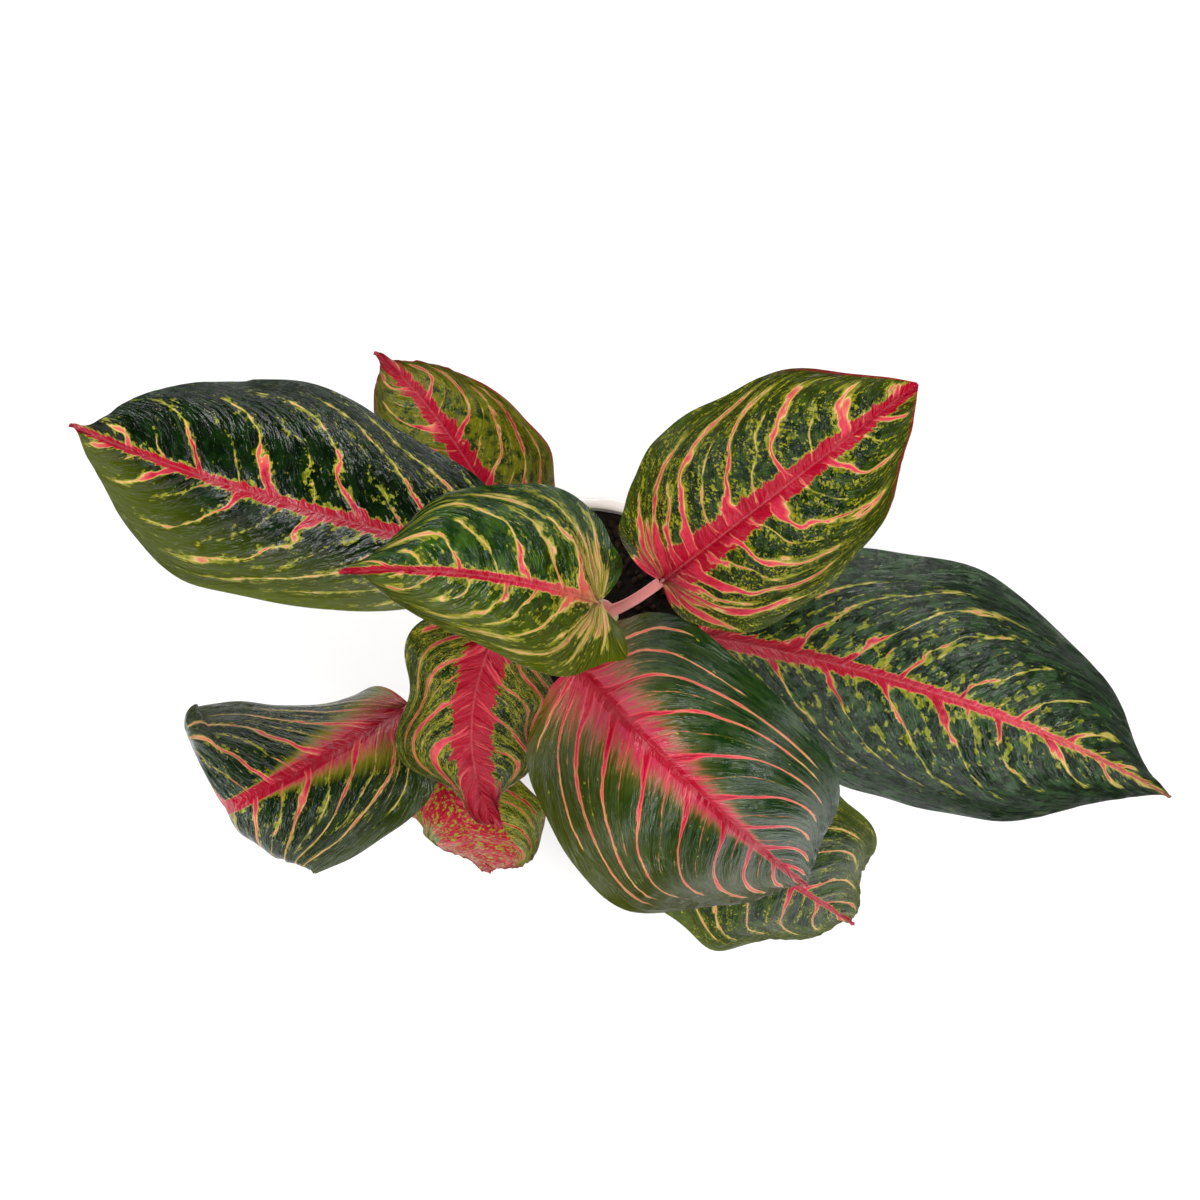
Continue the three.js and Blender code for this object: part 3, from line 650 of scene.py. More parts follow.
class LeafPaint(Paint):
    """The pattern of a leaf: red midrib and side veins on a speckled green, in millimetres.

    The mesh's map `veins` holds the side vein's number and the share of the way from midrib to
    margin, `spacing` the gap between veins and the share of the length, `plan` the place on the
    flat leaf.
    """

    def __init__(self, name, pattern, seed):
        super().__init__(name)
        self.pattern = pattern
        self.seed = seed
        self.number, self.out = self.map("veins")
        self.gap, self.share = self.map("spacing")
        self.x, self.y = self.map("plan")
        self.aside = abs(self.y)
        # Streaks lie along the veins: across is the way over them, along the way they run.
        self.across = self.number * STREAK_GAP
        self.along = self.x + self.aside
        self.streak = self.vector(self.across, self.along * 0.3, seed)
        self.patch = self.vector(self.across * 0.35, self.along * 0.1, seed + 7)
        self.spike = self.vector(self.across, self.along * 0.05, seed + 3)
        self.torn = (self.noise(self.streak, 0.5, 4, 0.65) - 0.5) * pattern.ragged

    def stretched(self, shift=0):
        """A place for spots that are drawn out along the veins."""
        return self.vector(self.across, self.along / self.pattern.stretch, self.seed + shift)

    def side_veins(self):
        """How far inside its side vein a point lies, and how much the vein swells there."""
        pattern, out, seed = self.pattern, self.out, self.seed
        wander = self.noise(self.patch, 0.4, 1) - 0.5
        place = self.number + wander * pattern.ragged * 0.8 + self.torn * 0.12
        nearest = self.math("ROUND", place)
        off = abs(place - nearest) * self.gap
        thinness = self.math("PINGPONG", nearest, 1.0)
        chance = self.luck(nearest + seed * SEED_SPREAD)
        lane = self.vector(nearest * VEIN_SPREAD, self.along * 0.07, seed)
        swell = (self.noise(lane, 1.0, 2) - 0.5) * pattern.swelling
        half = thinness * (pattern.thin - pattern.vein) + pattern.vein
        half = half * (chance * 0.8 + 0.6) * (1.2 - out * pattern.taper)
        half = half + swell * (1 - thinness * 0.35) * (1.15 - out * 0.6)
        short_lane = self.vector(nearest * VEIN_SPREAD, self.along * 0.2, seed + 5)
        broken = self.noise(short_lane, 1.0, 2) - 0.55
        half = half + broken * pattern.breaks * out.ramp(0.1, 0.4)
        flare = self.fall_off(self.aside, pattern.flare_length) * pattern.flare
        half = (half + flare * (1 - thinness * 0.8)) * (1.15 - self.share * 0.5)
        half = half + self.torn * (1.0 + flare * 0.5)
        from_base = self.math("SQRT", self.x * self.x + self.y * self.y)
        half = half + self.fall_off(from_base, pattern.root_length) * pattern.root
        late = (out - chance * 0.1 + thinness * 0.2).step(pattern.reaching - 0.15, pattern.reaching)
        half = half - late * 2 - self.share.step(0.82, 0.97) * 0.8
        return self.math("MINIMUM", half, self.gap * WIDEST_VEIN) - off, swell

    def midrib(self):
        """How far inside the red midrib a point lies, and its half width without the teeth."""
        base, tip = self.pattern.midrib
        width = (1 - self.share) ** 0.75 * (base - tip) + tip
        teeth = self.math("MAXIMUM", self.noise(self.spike, 0.55, 3, 0.7) - 0.46, 0)
        teeth = teeth * self.pattern.teeth
        if self.pattern.islands:
            teeth = teeth + (self.noise(self.streak, 0.32, 4, 0.65) - 0.5) * self.pattern.islands
        return width + teeth * (1 - self.share * 0.7) - self.aside, width

    def redness(self, inside):
        """1 in the veins and the midrib, apart from their green flecks."""
        red = inside.step(-0.1, 0.12)
        if self.pattern.flecks:
            hole = self.noise(self.stretched(2), 1 / FLECK_SIZE, 4, 0.65)
            red = red * (1 - hole.step(0.62 - self.pattern.flecks, 0.66 - self.pattern.flecks))
        return red

    def reds(self, vein, rib, swell):
        """Veins that are pale at their edges and on the way out, and streaks on the midrib."""
        pattern, aside = self.pattern, self.aside
        redder = (self.share - 0.4) * pattern.reddening
        blush = pattern.blush - self.out * pattern.fading + swell * 0.7
        blush = blush + redder * 0.6 + vein.ramp(0.05, 0.9) * 0.4
        blush = blush - (1 - vein.ramp(0.0, 0.25)) * 0.35 * pattern.edging
        vein_colour = self.colours(blush, VEIN_COLOURS)
        line = self.noise(self.vector(self.y * 2.4, self.x * 0.05, self.seed), 1.0, 3, 0.7) - 0.5
        depth = pattern.depth + rib.ramp(-0.3, 0.6) * 0.3 + line * 0.5 + redder
        depth = depth - (1 - rib.ramp(0.0, 0.25)) * 0.35 * pattern.edging
        colour = self.colours(depth, VEIN_COLOURS)
        colour = self.blend(colour, ROSE_WHITE, (1 - aside.step(0.1, 0.7)) * pattern.core)
        vein_on_rib = vein.step(-0.15, 0.25) * aside.step(0.6, 2.5)
        colour = self.blend(colour, vein_colour, vein_on_rib + (1 - rib.step(-0.3, 0.1)))
        shading = self.noise(self.vector(self.across * 2, self.along * 0.1, self.seed), 1.0, 3, 0.7)
        return self.blend(colour, WINE, shading.step(0.5, 0.75) * rib.ramp(0, 2.0) * 0.5)

    def greens(self, inside, width):
        """Dark and light parts, the margin's colour, spots, the yellowish fringe and the glow."""
        pattern, out = self.pattern, self.out
        shade = self.noise(self.stretched(7), 1 / pattern.blotch, 4, 0.6)
        lightness = shade.step(pattern.dark - 0.1, pattern.dark + 0.1)
        colour = self.blend(pattern.deep, pattern.ground, lightness)
        towards_margin = out.ramp(1 - pattern.border_share, 1.0)
        if pattern.border_side:
            towards_margin = towards_margin * (self.y * pattern.border_side).step(0.0, 4.0)
        colour = self.blend(colour, pattern.border, towards_margin * pattern.border_depth)
        grain = self.noise(self.stretched(), 1 / pattern.spot, 4, 0.62)
        crowd = (self.noise(self.patch, 0.9, 2) - 0.5) * pattern.clumps
        near = self.math("EXPONENT", inside * 0.6) * pattern.gather
        level = grain + crowd + near + (pattern.speckle - 0.5) * 0.42 - out * pattern.clearing
        paler = self.noise(self.streak, 0.9, 2).step(0.35, 0.6)
        spot_colour = self.blend(pattern.border, pattern.spot_colour, paler)
        colour = self.blend(colour, spot_colour, level.step(0.52, 0.56) * 0.85)
        fringe = (inside + self.torn * 0.5).step(-pattern.fringe - 0.1, -0.05)
        colour = self.blend(colour, LIME, fringe * 0.8 * pattern.edging)
        return self.glowing(colour, width) if pattern.glow else colour

    def glowing(self, colour, width):
        """The red that runs out softly from the midrib into the green."""
        pattern = self.pattern
        reach = (1.02 - self.share.step(0.1, pattern.glow_end)) * pattern.glow
        spread = 1 - (self.aside - width) / reach
        spread = spread + (self.noise(self.spike, 1.0, 3) - 0.5) * 1.7 + self.torn * 0.5
        glow_colour = self.blend(SALMON, ROSE, spread.step(0.2, 0.9))
        colour = self.blend(colour, MOSS, spread.step(-0.9, 0.3) * pattern.halo)
        return self.blend(colour, glow_colour, spread.step(-0.1, 1.1) * 0.9)

    def edged(self, colour):
        """Adds the line along the margin and the colour of the tip."""
        pattern, share = self.pattern, self.share
        edge = self.out.step(0.968, 0.99) * share.step(pattern.rim_from - 0.08, pattern.rim_from + 0.05)
        colour = self.blend(colour, pattern.rim, edge * 0.85)
        point = (share + self.torn * 0.08).step(pattern.tip_from - 0.015, pattern.tip_from + 0.02)
        return self.blend(colour, pattern.tip, point * 0.9)

    def skin(self):
        """Wrinkles and fibres along the veins, and the relief that they and the grain give."""
        across, along, seed = self.across, self.along, self.seed
        wrinkle = self.noise(self.vector(across * 0.25, along * 0.035, seed + 11), 1.0, 3, 0.6)
        fibre = self.noise(self.vector(across * 2.4, along * 0.15, seed), 1.0, 3, 0.6)
        grain = self.noise(self.vector(self.x, self.y, seed), 1.9, 2, 0.7)
        relief = self.bump(wrinkle, WRINKLE_DEPTH * self.pattern.wrinkles)
        return wrinkle, fibre, self.bump(fibre * 0.15 + grain, SKIN_DEPTH, under=relief)


def leaf_paint(name, pattern, seed, under=False):
    """The face of a leaf, or its duller and greyer underside."""
    paint = LeafPaint(name, pattern, seed)
    vein, swell = paint.side_veins()
    rib, width = paint.midrib()
    inside = paint.math("SMOOTH_MAX", vein, rib, pattern.web)
    red = paint.redness(inside)
    colour = paint.blend(paint.greens(inside, width), paint.reds(vein, rib, swell), red)
    colour = paint.edged(colour)
    wrinkle, fibre, relief = paint.skin()
    if under:
        colour = paint.blend(colour, GREY_GREEN, 0.6)
        return paint.finish(colour, 0.6, relief, specular_ior_level=0.25)
    roughness = fibre * 0.12 + wrinkle * 0.2 + (pattern.gloss - 0.16) + red * 0.04
    return paint.finish(colour, roughness, relief, specular_ior_level=pattern.shine)


# Canes, in millimetres: the lowest leaf scar, the gap between scars, their slant and ridge, the
# round top, and how blunt its point is
SCAR_START = 100
SCAR_SPACING = 9
SCAR_SLANT = 0.8
SCAR_TURN = 2.4
SCAR_DEPTH = 0.35
SCAR_RIDGE = 0.55
SCAR_WIDTH = 0.8
CANE_TIP = 24
CANE_POINT = 0.03
CANE_STEPS = 150
CANE_SIDES = 32

# How far up a petiole is fully pink
PINK_FROM = 70.0


def stalk_paint():
    """Petioles: pink under the blade, paling to greenish white where they clasp the cane."""
    paint = Paint("stalk")
    length, around = paint.map("plan")
    streak = paint.noise(paint.vector(length * 0.05, around * 8, 2), 1.0, 3, 0.6)
    share = length.ramp(0.0, PINK_FROM) + (streak - 0.5) * 0.5
    colour = paint.colours(share, [(0.0, SHEATH_GREEN), (0.45, STALK_CREAM), (1.0, STALK_PINK)])
    relief = paint.bump(streak, 0.2 * MM, 0.4)
    return paint.finish(colour, streak * 0.2 + 0.3, relief, specular_ior_level=0.45)


def cane_paint():
    """Canes: green, with a pale brown scar round each ring."""
    paint = Paint("cane")
    height, around = paint.map("plan")
    mottle = paint.noise(paint.vector(height * 0.12, around * 3, 1), 1.0, 3, 0.6)
    scar = paint.math("PINGPONG", height - SCAR_START, SCAR_SPACING / 2)
    scar = 1 - (scar + (mottle - 0.5) * 0.8).step(0.5, 1.3)
    green = paint.colours(mottle, [(0.3, CANE_GREEN), (0.7, CANE_LIGHT)])
    colour = paint.blend(green, SCAR_BROWN, scar)
    relief = paint.bump(mottle, 0.3 * MM, 0.5)
    return paint.finish(colour, mottle * 0.3 + 0.35, relief)


def soil_paint(name, dark, light):
    """Damp peat and bark in two shades, for the soil and a little lighter for its crumbs."""
    paint = Paint(name)
    x, y, z = paint.position()
    place = paint.vector(x, y, z)
    lump = paint.noise(place, 220, 4, 0.7)
    speck = paint.noise(place, 700, 3, 0.7)
    colour = paint.colours(lump * 0.6 + speck * 0.4, [(0.38, dark), (0.62, light)])
    relief = paint.bump(lump + speck * 0.5, 0.8 * MM, 0.9)
    return paint.finish(colour, 0.95, relief, specular_ior_level=0.2)


def glaze_paint(glaze):
    """The pot's glaze, and the bare clay ring that it stands on."""
    paint = Paint("glaze")
    x, y, z = paint.position()
    place = paint.vector(x, y, z)
    cloud = paint.noise(place, 18, 2)
    pit = paint.noise(place, 420, 2)
    colour = paint.blend(glaze, GLAZE_SHADE, cloud.step(0.35, 0.75) * 0.5)
    colour = paint.blend(colour, GLAZE_SPECK, pit.step(0.71, 0.75) * 0.5)
    bare = 1 - z.step(0.8 * MM, 1.6 * MM)
    colour = paint.blend(colour, BARE_CLAY, bare)
    relief = paint.bump(cloud + pit * 0.15, 0.5 * MM, 0.25)
    return paint.finish(colour, bare * 0.6 + cloud * 0.1 + 0.08, relief, coat_weight=0.5)


# Meshes


def new_mesh(*maps):
    mesh = bmesh.new()
    for name in maps:
        mesh.loops.layers.uv.new(name)
    return mesh


def add_object(name, data):
    thing = bpy.data.objects.new(name, data)
    bpy.context.scene.collection.objects.link(thing)
    return thing


def mesh_object(mesh, name, *paints):
    """Makes the bmesh an object with these materials."""
    data = bpy.data.meshes.new(name)
    mesh.to_mesh(data)
    mesh.free()
    for paint in paints:
        data.materials.append(paint)
    return add_object(name, data)


def finish_piece(mesh, name, node, slot, *paints):
    """Makes the bmesh a smooth piece that rides with the part and may stand for a solid."""
    for face in mesh.faces:
        face.smooth = True
    piece = mesh_object(mesh, name, *paints)
    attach(piece, "root")
    if node:
        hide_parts(node)
    return piece


def add_tube(mesh, steps, sides, place, plan, paint_index=0):
    """A closed tube: place(share, angle) and plan(share, angle) give a point and its map."""
    layer = mesh.loops.layers.uv["plan"]
    verts = bmesh.ops.create_grid(mesh, x_segments=steps, y_segments=sides, size=1)["verts"]
    faces = {face for vert in verts for face in vert.link_faces}
    spot = {vert: ((vert.co.x + 1) / 2, (vert.co.y + 1) * math.pi) for vert in verts}
    for face in faces:
        face.material_index = paint_index
        for loop in face.loops:
            loop[layer].uv = plan(*spot[loop.vert])
    for vert in verts:
        vert.co = place(*spot[vert])
    bmesh.ops.remove_doubles(mesh, verts=verts, dist=1e-6)
    verts = {vert for face in faces for vert in face.verts}
    ends = [edge for edge in {e for v in verts for e in v.link_edges} if edge.is_boundary]
    caps = bmesh.ops.holes_fill(mesh, edges=ends)["faces"]
    for face in caps:
        face.material_index = paint_index
    bmesh.ops.recalc_face_normals(mesh, faces=[*faces, *caps])


def add_turned(mesh, profile, steps):
    """A profile of (radius, height) points, turned once round the Z axis."""
    verts = [mesh.verts.new((radius, 0, height)) for radius, height in profile]
    edges = [mesh.edges.new(pair) for pair in zip(verts, verts[1:])]
    bmesh.ops.spin(
        mesh, geom=verts + edges, cent=(0, 0, 0), axis=(0, 0, 1), angle=2 * math.pi,
        steps=steps, use_merge=True,
    )
    bmesh.ops.remove_doubles(mesh, verts=mesh.verts, dist=1e-6)
    bmesh.ops.recalc_face_normals(mesh, faces=mesh.faces)


def arc(centre, radius, start, end, steps):
    """Points on an arc in a profile; the angles are in degrees."""
    points = []
    for step in range(steps + 1):
        angle = math.radians(mix(start, end, step / steps))
        points.append((centre[0] + radius * math.cos(angle), centre[1] + radius * math.sin(angle)))
    return points


# Fine leaf meshes: how much the rows crowd at base and tip, and the columns at the midrib
ROW_CROWDING = 0.6
COLUMN_CROWDING = 1.25


def row_share(even):
    return mix(even, (1 - math.cos(math.pi * even)) / 2, ROW_CROWDING)


def column_share(even):
    return math.copysign(abs(even) ** COLUMN_CROWDING, even)


# Relief of a blade: the groove's width in millimetres, the gap between veins over which the
# quilting is full, the shares of the way out at which quilting and folds are full, how close
# together folds and ruffles are, and what keeps the noise of halves and leaves apart
GROOVE_WIDTH = 1.9
QUILTED_GAP = 6
QUILTED_FROM = 0.15
FOLDED_FROM = 0.3
FOLDS_PER_VEIN = 1.3
FOLDS_PER_MM = 0.02
RUFFLES = 7
HALF_SPREAD = 3
LEAF_SPREAD = 9.1

# Petiole, in millimetres: its radius at both ends, how far below its foot it starts and how far
# it bites into the cane, the sheath that clasps the cane, the channel on its upper side, how far
# its end sinks below the blade, and the keel that goes on from it
STALK_FOOT = 3.2
STALK_TIP = 2.0
STALK_ROOT = 9
STALK_BITE = 0.6
STALK_STEPS = 26
STALK_SIDES = 16
SHEATH_WIDTH = 4.6
SHEATH_SPREAD = 2.6
SHEATH_SHARE = 0.4
CHANNEL_DEPTH = 0.3
CHANNEL_WIDTH = 0.45
SINK_FROM = 0.7
SUNK = 0.7 * STALK_TIP
KEEL_STEPS = 30
KEEL_END = 0.93
KEEL_DEPTH = 0.55
KEEL_TIP = 0.35
KEEL_START = 0.08


class LeafMesh:
    """The fine mesh of one leaf: a thin blade with sunken veins, and its petiole and keel."""

    def __init__(self, blade, sizes, seed):
        self.blade = blade
        self.sizes = sizes
        self.seed = seed
        self.mesh = new_mesh("veins", "spacing", "plan")
        layers = self.mesh.verts.layers.float
        self.row, self.column = layers.new("row"), layers.new("column")
        self.number, self.gap = layers.new("number"), layers.new("gap")
        self.rise = layers.new("rise")

    def relief(self, u, v, number, gap):
        """How far the blade's surface stands out of its middle surface, up, in metres."""
        sizes, out = self.sizes, abs(v)
        x, y = self.blade.flat_place(u, v)
        groove = sizes.groove * math.exp(-(y / GROOVE_WIDTH) ** 2) * (1 - u)
        puff = math.sin(math.pi * number / 2) ** 2 - 0.5
        puff *= sizes.quilting * min(1, gap / QUILTED_GAP) * (1 - out ** 4)
        puff *= smooth_step(out / QUILTED_FROM)
        half = math.copysign(HALF_SPREAD, v)
        along = (x + abs(y)) * FOLDS_PER_MM
        fold = noise.noise(Vector((number * FOLDS_PER_VEIN, along, self.seed + half)))
        ruffle = noise.noise(Vector((u * RUFFLES, half, self.seed * LEAF_SPREAD)))
        uneven = sizes.folds * fold * smooth_step(out / FOLDED_FROM)
        return puff - groove + uneven + sizes.ruffle * ruffle * out ** 3 * math.sin(math.pi * u)

    def add_blade(self):
        """The blade's face and underside, joined along the margin."""
        mesh, sizes, blade = self.mesh, self.sizes, self.blade
        bmesh.ops.create_grid(
            mesh, x_segments=sizes.rows, y_segments=2 * sizes.columns, size=1,
        )
        for vert in mesh.verts:
            u, v = row_share((vert.co.x + 1) / 2), column_share(vert.co.y)
            vert[self.row], vert[self.column] = u, v
            vert[self.number], vert[self.gap] = blade.vein_number(u, v), blade.vein_gap(u, v)
            vert[self.rise] = self.relief(u, v, vert[self.number], vert[self.gap])
            vert.co = blade.point(u, v) * MM
        copy = bmesh.ops.duplicate(mesh, geom=mesh.verts[:] + mesh.edges[:] + mesh.faces[:])
        lower = {item for item in copy["geom"] if isinstance(item, bmesh.types.BMFace)}
        below = {item for item in copy["geom"] if isinstance(item, bmesh.types.BMVert)}
        mesh.normal_update()
        for vert in mesh.verts:
            half = mix(sizes.thickness, sizes.margin_thickness, vert[self.column] ** 2) / 2
            vert.co += vert.normal * (vert[self.rise] + (-half if vert in below else half))
        bmesh.ops.reverse_faces(mesh, faces=list(lower))
        for face in lower:
            face.material_index = 1
        rim = [edge for edge in mesh.edges if edge.is_boundary]
        bmesh.ops.bridge_loops(mesh, edges=rim)
        if any(edge.is_boundary for edge in mesh.edges):
            raise RuntimeError(f"the rim of {blade.measures.node} isn't closed")
        for edge in rim:
            edge.smooth = False
        self.map_blade()

    def map_blade(self):
        """Gives each half its own vein numbers, so that the two aren't alike."""
        layers = self.mesh.loops.layers.uv
        veins, spacing, plan = layers["veins"], layers["spacing"], layers["plan"]
        for face in self.mesh.faces:
            right = sum(vert[self.column] for vert in face.verts) < 0
            shift = SIDE_SHIFT if right else 0
            for loop in face.loops:
                vert = loop.vert
                u, v = vert[self.row], vert[self.column]
                loop[veins].uv = vert[self.number] + shift, abs(v)
                loop[spacing].uv = vert[self.gap], u
                loop[plan].uv = self.blade.flat_place(u, v)

    def stalk_path(self):
        """The petiole from its cane, and the keel that goes on from it below the blade."""
        blade, leaf = self.blade, self.blade.measures
        cane = CANES[leaf.cane]
        azimuth = math.radians(leaf.foot[0])
        outward = Vector((math.cos(azimuth), math.sin(azimuth), 0))
        axis = Vector((cane.x, cane.y, leaf.foot[1]))
        foot = axis + outward * (cane.radius + STALK_FOOT)
        root = axis + outward * (cane.radius - STALK_BITE) - Vector((0, 0, STALK_ROOT))
        base = blade.midrib[0]
        along = blade.directions(0)[0]
        distance = (base - foot).length
        climb = [
            foot,
            foot + Vector((0, 0, distance * leaf.reach[0])),
            base - along * (distance * leaf.reach[1]),
            base,
        ]
        path = [(root, SHEATH_WIDTH, 1.0, 0.0)]
        for step in range(STALK_STEPS + 1):
            share = step / STALK_STEPS
            sheath = (1 - smooth_step(share / SHEATH_SHARE)) ** 2
            radius = mix(STALK_FOOT, STALK_TIP, math.sqrt(share))
            drop = smooth_step((share - SINK_FROM) / (1 - SINK_FROM)) * SUNK
            path.append((bezier(climb, share), radius + SHEATH_SPREAD * sheath, radius, drop))
        for step in range(1, KEEL_STEPS + 1):
            share = KEEL_END * step / KEEL_STEPS
            radius = mix(STALK_TIP, KEEL_TIP, share ** 0.8)
            place = blade.point(midrib_row(share), 0)
            settle = smooth_step(share / KEEL_START)
            path.append((place, radius, radius, mix(SUNK, radius + KEEL_DEPTH, settle)))
        return path

    def add_stalk(self):
        """A tube along the path, turned so that its channel faces the blade's upper side."""
        path = self.stalk_path()
        centres = [place for place, *_ in path]
        last = len(path) - 1
        tangents = []
        for index in range(last + 1):
            ahead = centres[min(index + 1, last)] - centres[max(index - 1, 0)]
            tangents.append(ahead.normalized())
        joint = 1 + STALK_STEPS
        lefts = [None] * (last + 1)
        lefts[joint] = self.blade.directions(0)[1]
        for index in (*range(joint - 1, -1, -1), *range(joint + 1, last + 1)):
            previous = lefts[index + 1 if index < joint else index - 1]
            tangent = tangents[index]
            lefts[index] = (previous - tangent * previous.dot(tangent)).normalized()
        lengths = [0.0]
        for first, second in zip(centres, centres[1:]):
            lengths.append(lengths[-1] + (second - first).length)

        def place(share, angle):
            index = round(share * last)
            centre, half_width, half_height, drop = path[index]
            left = lefts[index]
            up = tangents[index].cross(left)
            channel = CHANNEL_DEPTH * math.exp(-(math.cos(angle) / CHANNEL_WIDTH) ** 2)
            rise = math.sin(angle) * half_height
            if rise > 0:
                rise *= 1 - channel
            spot = centre + left * (math.cos(angle) * half_width) + up * (rise - drop)
            return spot * MM

        def plan(share, angle):
            return lengths[round(share * last)], angle

        add_tube(self.mesh, last, STALK_SIDES, place, plan, paint_index=2)


def bezier(points, share):
    """A point on the smooth curve that four points steer."""
    rest = 1 - share
    weights = (rest ** 3, 3 * rest * rest * share, 3 * rest * share * share, share ** 3)
    return sum((point * weight for point, weight in zip(points, weights)), Vector((0, 0, 0)))


def midrib_row(share):
    """The row whose middle lies at a share of the blade's length."""
    return share ** (1 / ROW_SPREAD)


# Settings

LENGTH = {"subtype": "DISTANCE", "unit": "LENGTH", "min": 0.0, "precision": 5}


class LeafSizes(bpy.types.PropertyGroup):
    """Sizes of the fine leaf meshes."""

    thickness: bpy.props.FloatProperty(
        name="Thickness", description="Blade beside the midrib", default=0.9 * MM, **LENGTH,
    )
    margin_thickness: bpy.props.FloatProperty(
        name="Margin Thickness", description="Blade at its margin", default=0.4 * MM, **LENGTH,
    )
    groove: bpy.props.FloatProperty(
        name="Midrib Groove", description="How deep the midrib sinks", default=0.7 * MM, **LENGTH,
    )
    quilting: bpy.props.FloatProperty(
        name="Quilting", description="How far the blade rises between side veins",
        default=0.9 * MM, **LENGTH,
    )
    folds: bpy.props.FloatProperty(
        name="Folds", description="Uneven folds along the side veins", default=1.2 * MM, **LENGTH,
    )
    ruffle: bpy.props.FloatProperty(
        name="Ruffle", description="Small uneven waves of the margin", default=1.2 * MM, **LENGTH,
    )
    rows: bpy.props.IntProperty(
        name="Rows", description="Faces from base to tip", default=120, min=20, max=200,
    )
    columns: bpy.props.IntProperty(
        name="Columns", description="Faces from midrib to margin", default=34, min=8, max=60,
    )


class PotSizes(bpy.types.PropertyGroup):
    """Sizes and colour of the pot and the soil in it."""

    rim_radius: bpy.props.FloatProperty(
        name="Rim Radius", description="Outer radius of the lip", default=POT_BOX[1].x, **LENGTH,
    )
    height: bpy.props.FloatProperty(
        name="Height", description="From the ground to the lip", default=POT_BOX[1].z, **LENGTH,
    )
    foot_radius: bpy.props.FloatProperty(
        name="Foot Radius", description="Outer radius at the ground", default=43 * MM, **LENGTH,
    )
    wall: bpy.props.FloatProperty(
        name="Wall", description="Thickness of the wall", default=4 * MM, **LENGTH,
    )
    floor: bpy.props.FloatProperty(
        name="Floor", description="Thickness of the floor", default=6 * MM, **LENGTH,
    )
    lip_width: bpy.props.FloatProperty(
        name="Lip Width", description="Across the rolled lip", default=5 * MM, **LENGTH,
    )
    lip_height: bpy.props.FloatProperty(
        name="Lip Height", description="From the lip's step to its top", default=9 * MM, **LENGTH,
    )
    drain_radius: bpy.props.FloatProperty(
        name="Drain Hole Radius", description="Each of the four holes", default=4 * MM, **LENGTH,
    )
    glaze: bpy.props.FloatVectorProperty(
        name="Glaze", description="Colour of the glaze", subtype="COLOR", size=4, min=0, max=1,
        default=GLAZE,
    )
    crumbs: bpy.props.IntProperty(
        name="Crumbs", description="Loose crumbs on the soil", default=520, min=0, max=1500,
    )


class StageSizes(bpy.types.PropertyGroup):
    """Camera, floor and lights."""

    camera_height: bpy.props.FloatProperty(
        name="Camera Height", description="Above the ground", default=1112 * MM, **LENGTH,
    )
    camera_x: bpy.props.FloatProperty(
        name="Camera X", description="To the right of the pot's axis", default=6 * MM,
        subtype="DISTANCE", unit="LENGTH", precision=5,
    )
    camera_y: bpy.props.FloatProperty(
        name="Camera Y", description="Behind the pot's axis", default=16 * MM,
        subtype="DISTANCE", unit="LENGTH", precision=5,
    )
    lens: bpy.props.FloatProperty(
        name="Lens", description="Focal length on a 36 mm wide sensor", default=66.72,
        subtype="DISTANCE_CAMERA", min=10,
    )
    floor_colour: bpy.props.FloatVectorProperty(
        name="Floor", description="Colour of the floor", subtype="COLOR", size=4, min=0, max=1,
        default=srgb(246, 246, 246),
    )


# Steps


# How far a finished leaf may be from its solid, since its petiole's foot reaches into the cane,
# and how far apart the leaves' random patterns are
PLACE_TOLERANCE = 12 * MM
LUCK_STEP = 11


class MAKE_OT_leaves(bpy.types.Operator):
    """Models the ten patterned leaves with their petioles"""

    bl_idname = "aglaonema.leaves"
    bl_label = "Leaves"

    def execute(self, context):
        sizes = context.scene.aglaonema_leaves
        stalk = stalk_paint()
        for seed, measures in enumerate(LEAVES):
            pattern = LOOKS[measures.node]
            fine = LeafMesh(Blade(measures, pattern), sizes, seed)
            fine.add_blade()
            fine.add_stalk()
            name = measures.piece
            luck = seed * LUCK_STEP + pattern.luck
            face = leaf_paint(name + "_face", pattern, luck)
            back = leaf_paint(name + "_back", pattern, luck, under=True)
            piece = finish_piece(fine.mesh, name, measures.node, "leaf", face, back, stalk)
            check_place(piece, measures.node)
        return {"FINISHED"}


def check_place(piece, node):
    """Stops the script if a piece isn't where its solid is."""
    corners = [Vector(corner) for corner in piece.bound_box]
    low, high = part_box(node)
    for axis in range(3):
        values = [corner[axis] for corner in corners]
        if max(abs(min(values) - low[axis]), abs(max(values) - high[axis])) > PLACE_TOLERANCE:
            raise RuntimeError(f"{piece.name} isn't where {node} is: {values} {low} {high}")


class MAKE_OT_canes(bpy.types.Operator):
    """Models the two ringed canes"""

    bl_idname = "aglaonema.canes"
    bl_label = "Canes"

    def execute(self, context):
        paint = cane_paint()
        for name, cane in CANES.items():
            finish_piece(cane_mesh(cane), f"{name}_cane", cane.node, "cane", paint)
        return {"FINISHED"}


def cane_mesh(cane):
    mesh = new_mesh("plan")

    def height(share):
        return mix(cane.foot, cane.top, share)

    def place(share, angle):
        z = height(share)
        radius = cane_radius(cane, z, angle)
        return Vector((cane.x + radius * math.cos(angle), cane.y + radius * math.sin(angle), z)) * MM

    def plan(share, angle):
        return height(share), angle

    add_tube(mesh, CANE_STEPS, CANE_SIDES, place, plan)
    return mesh


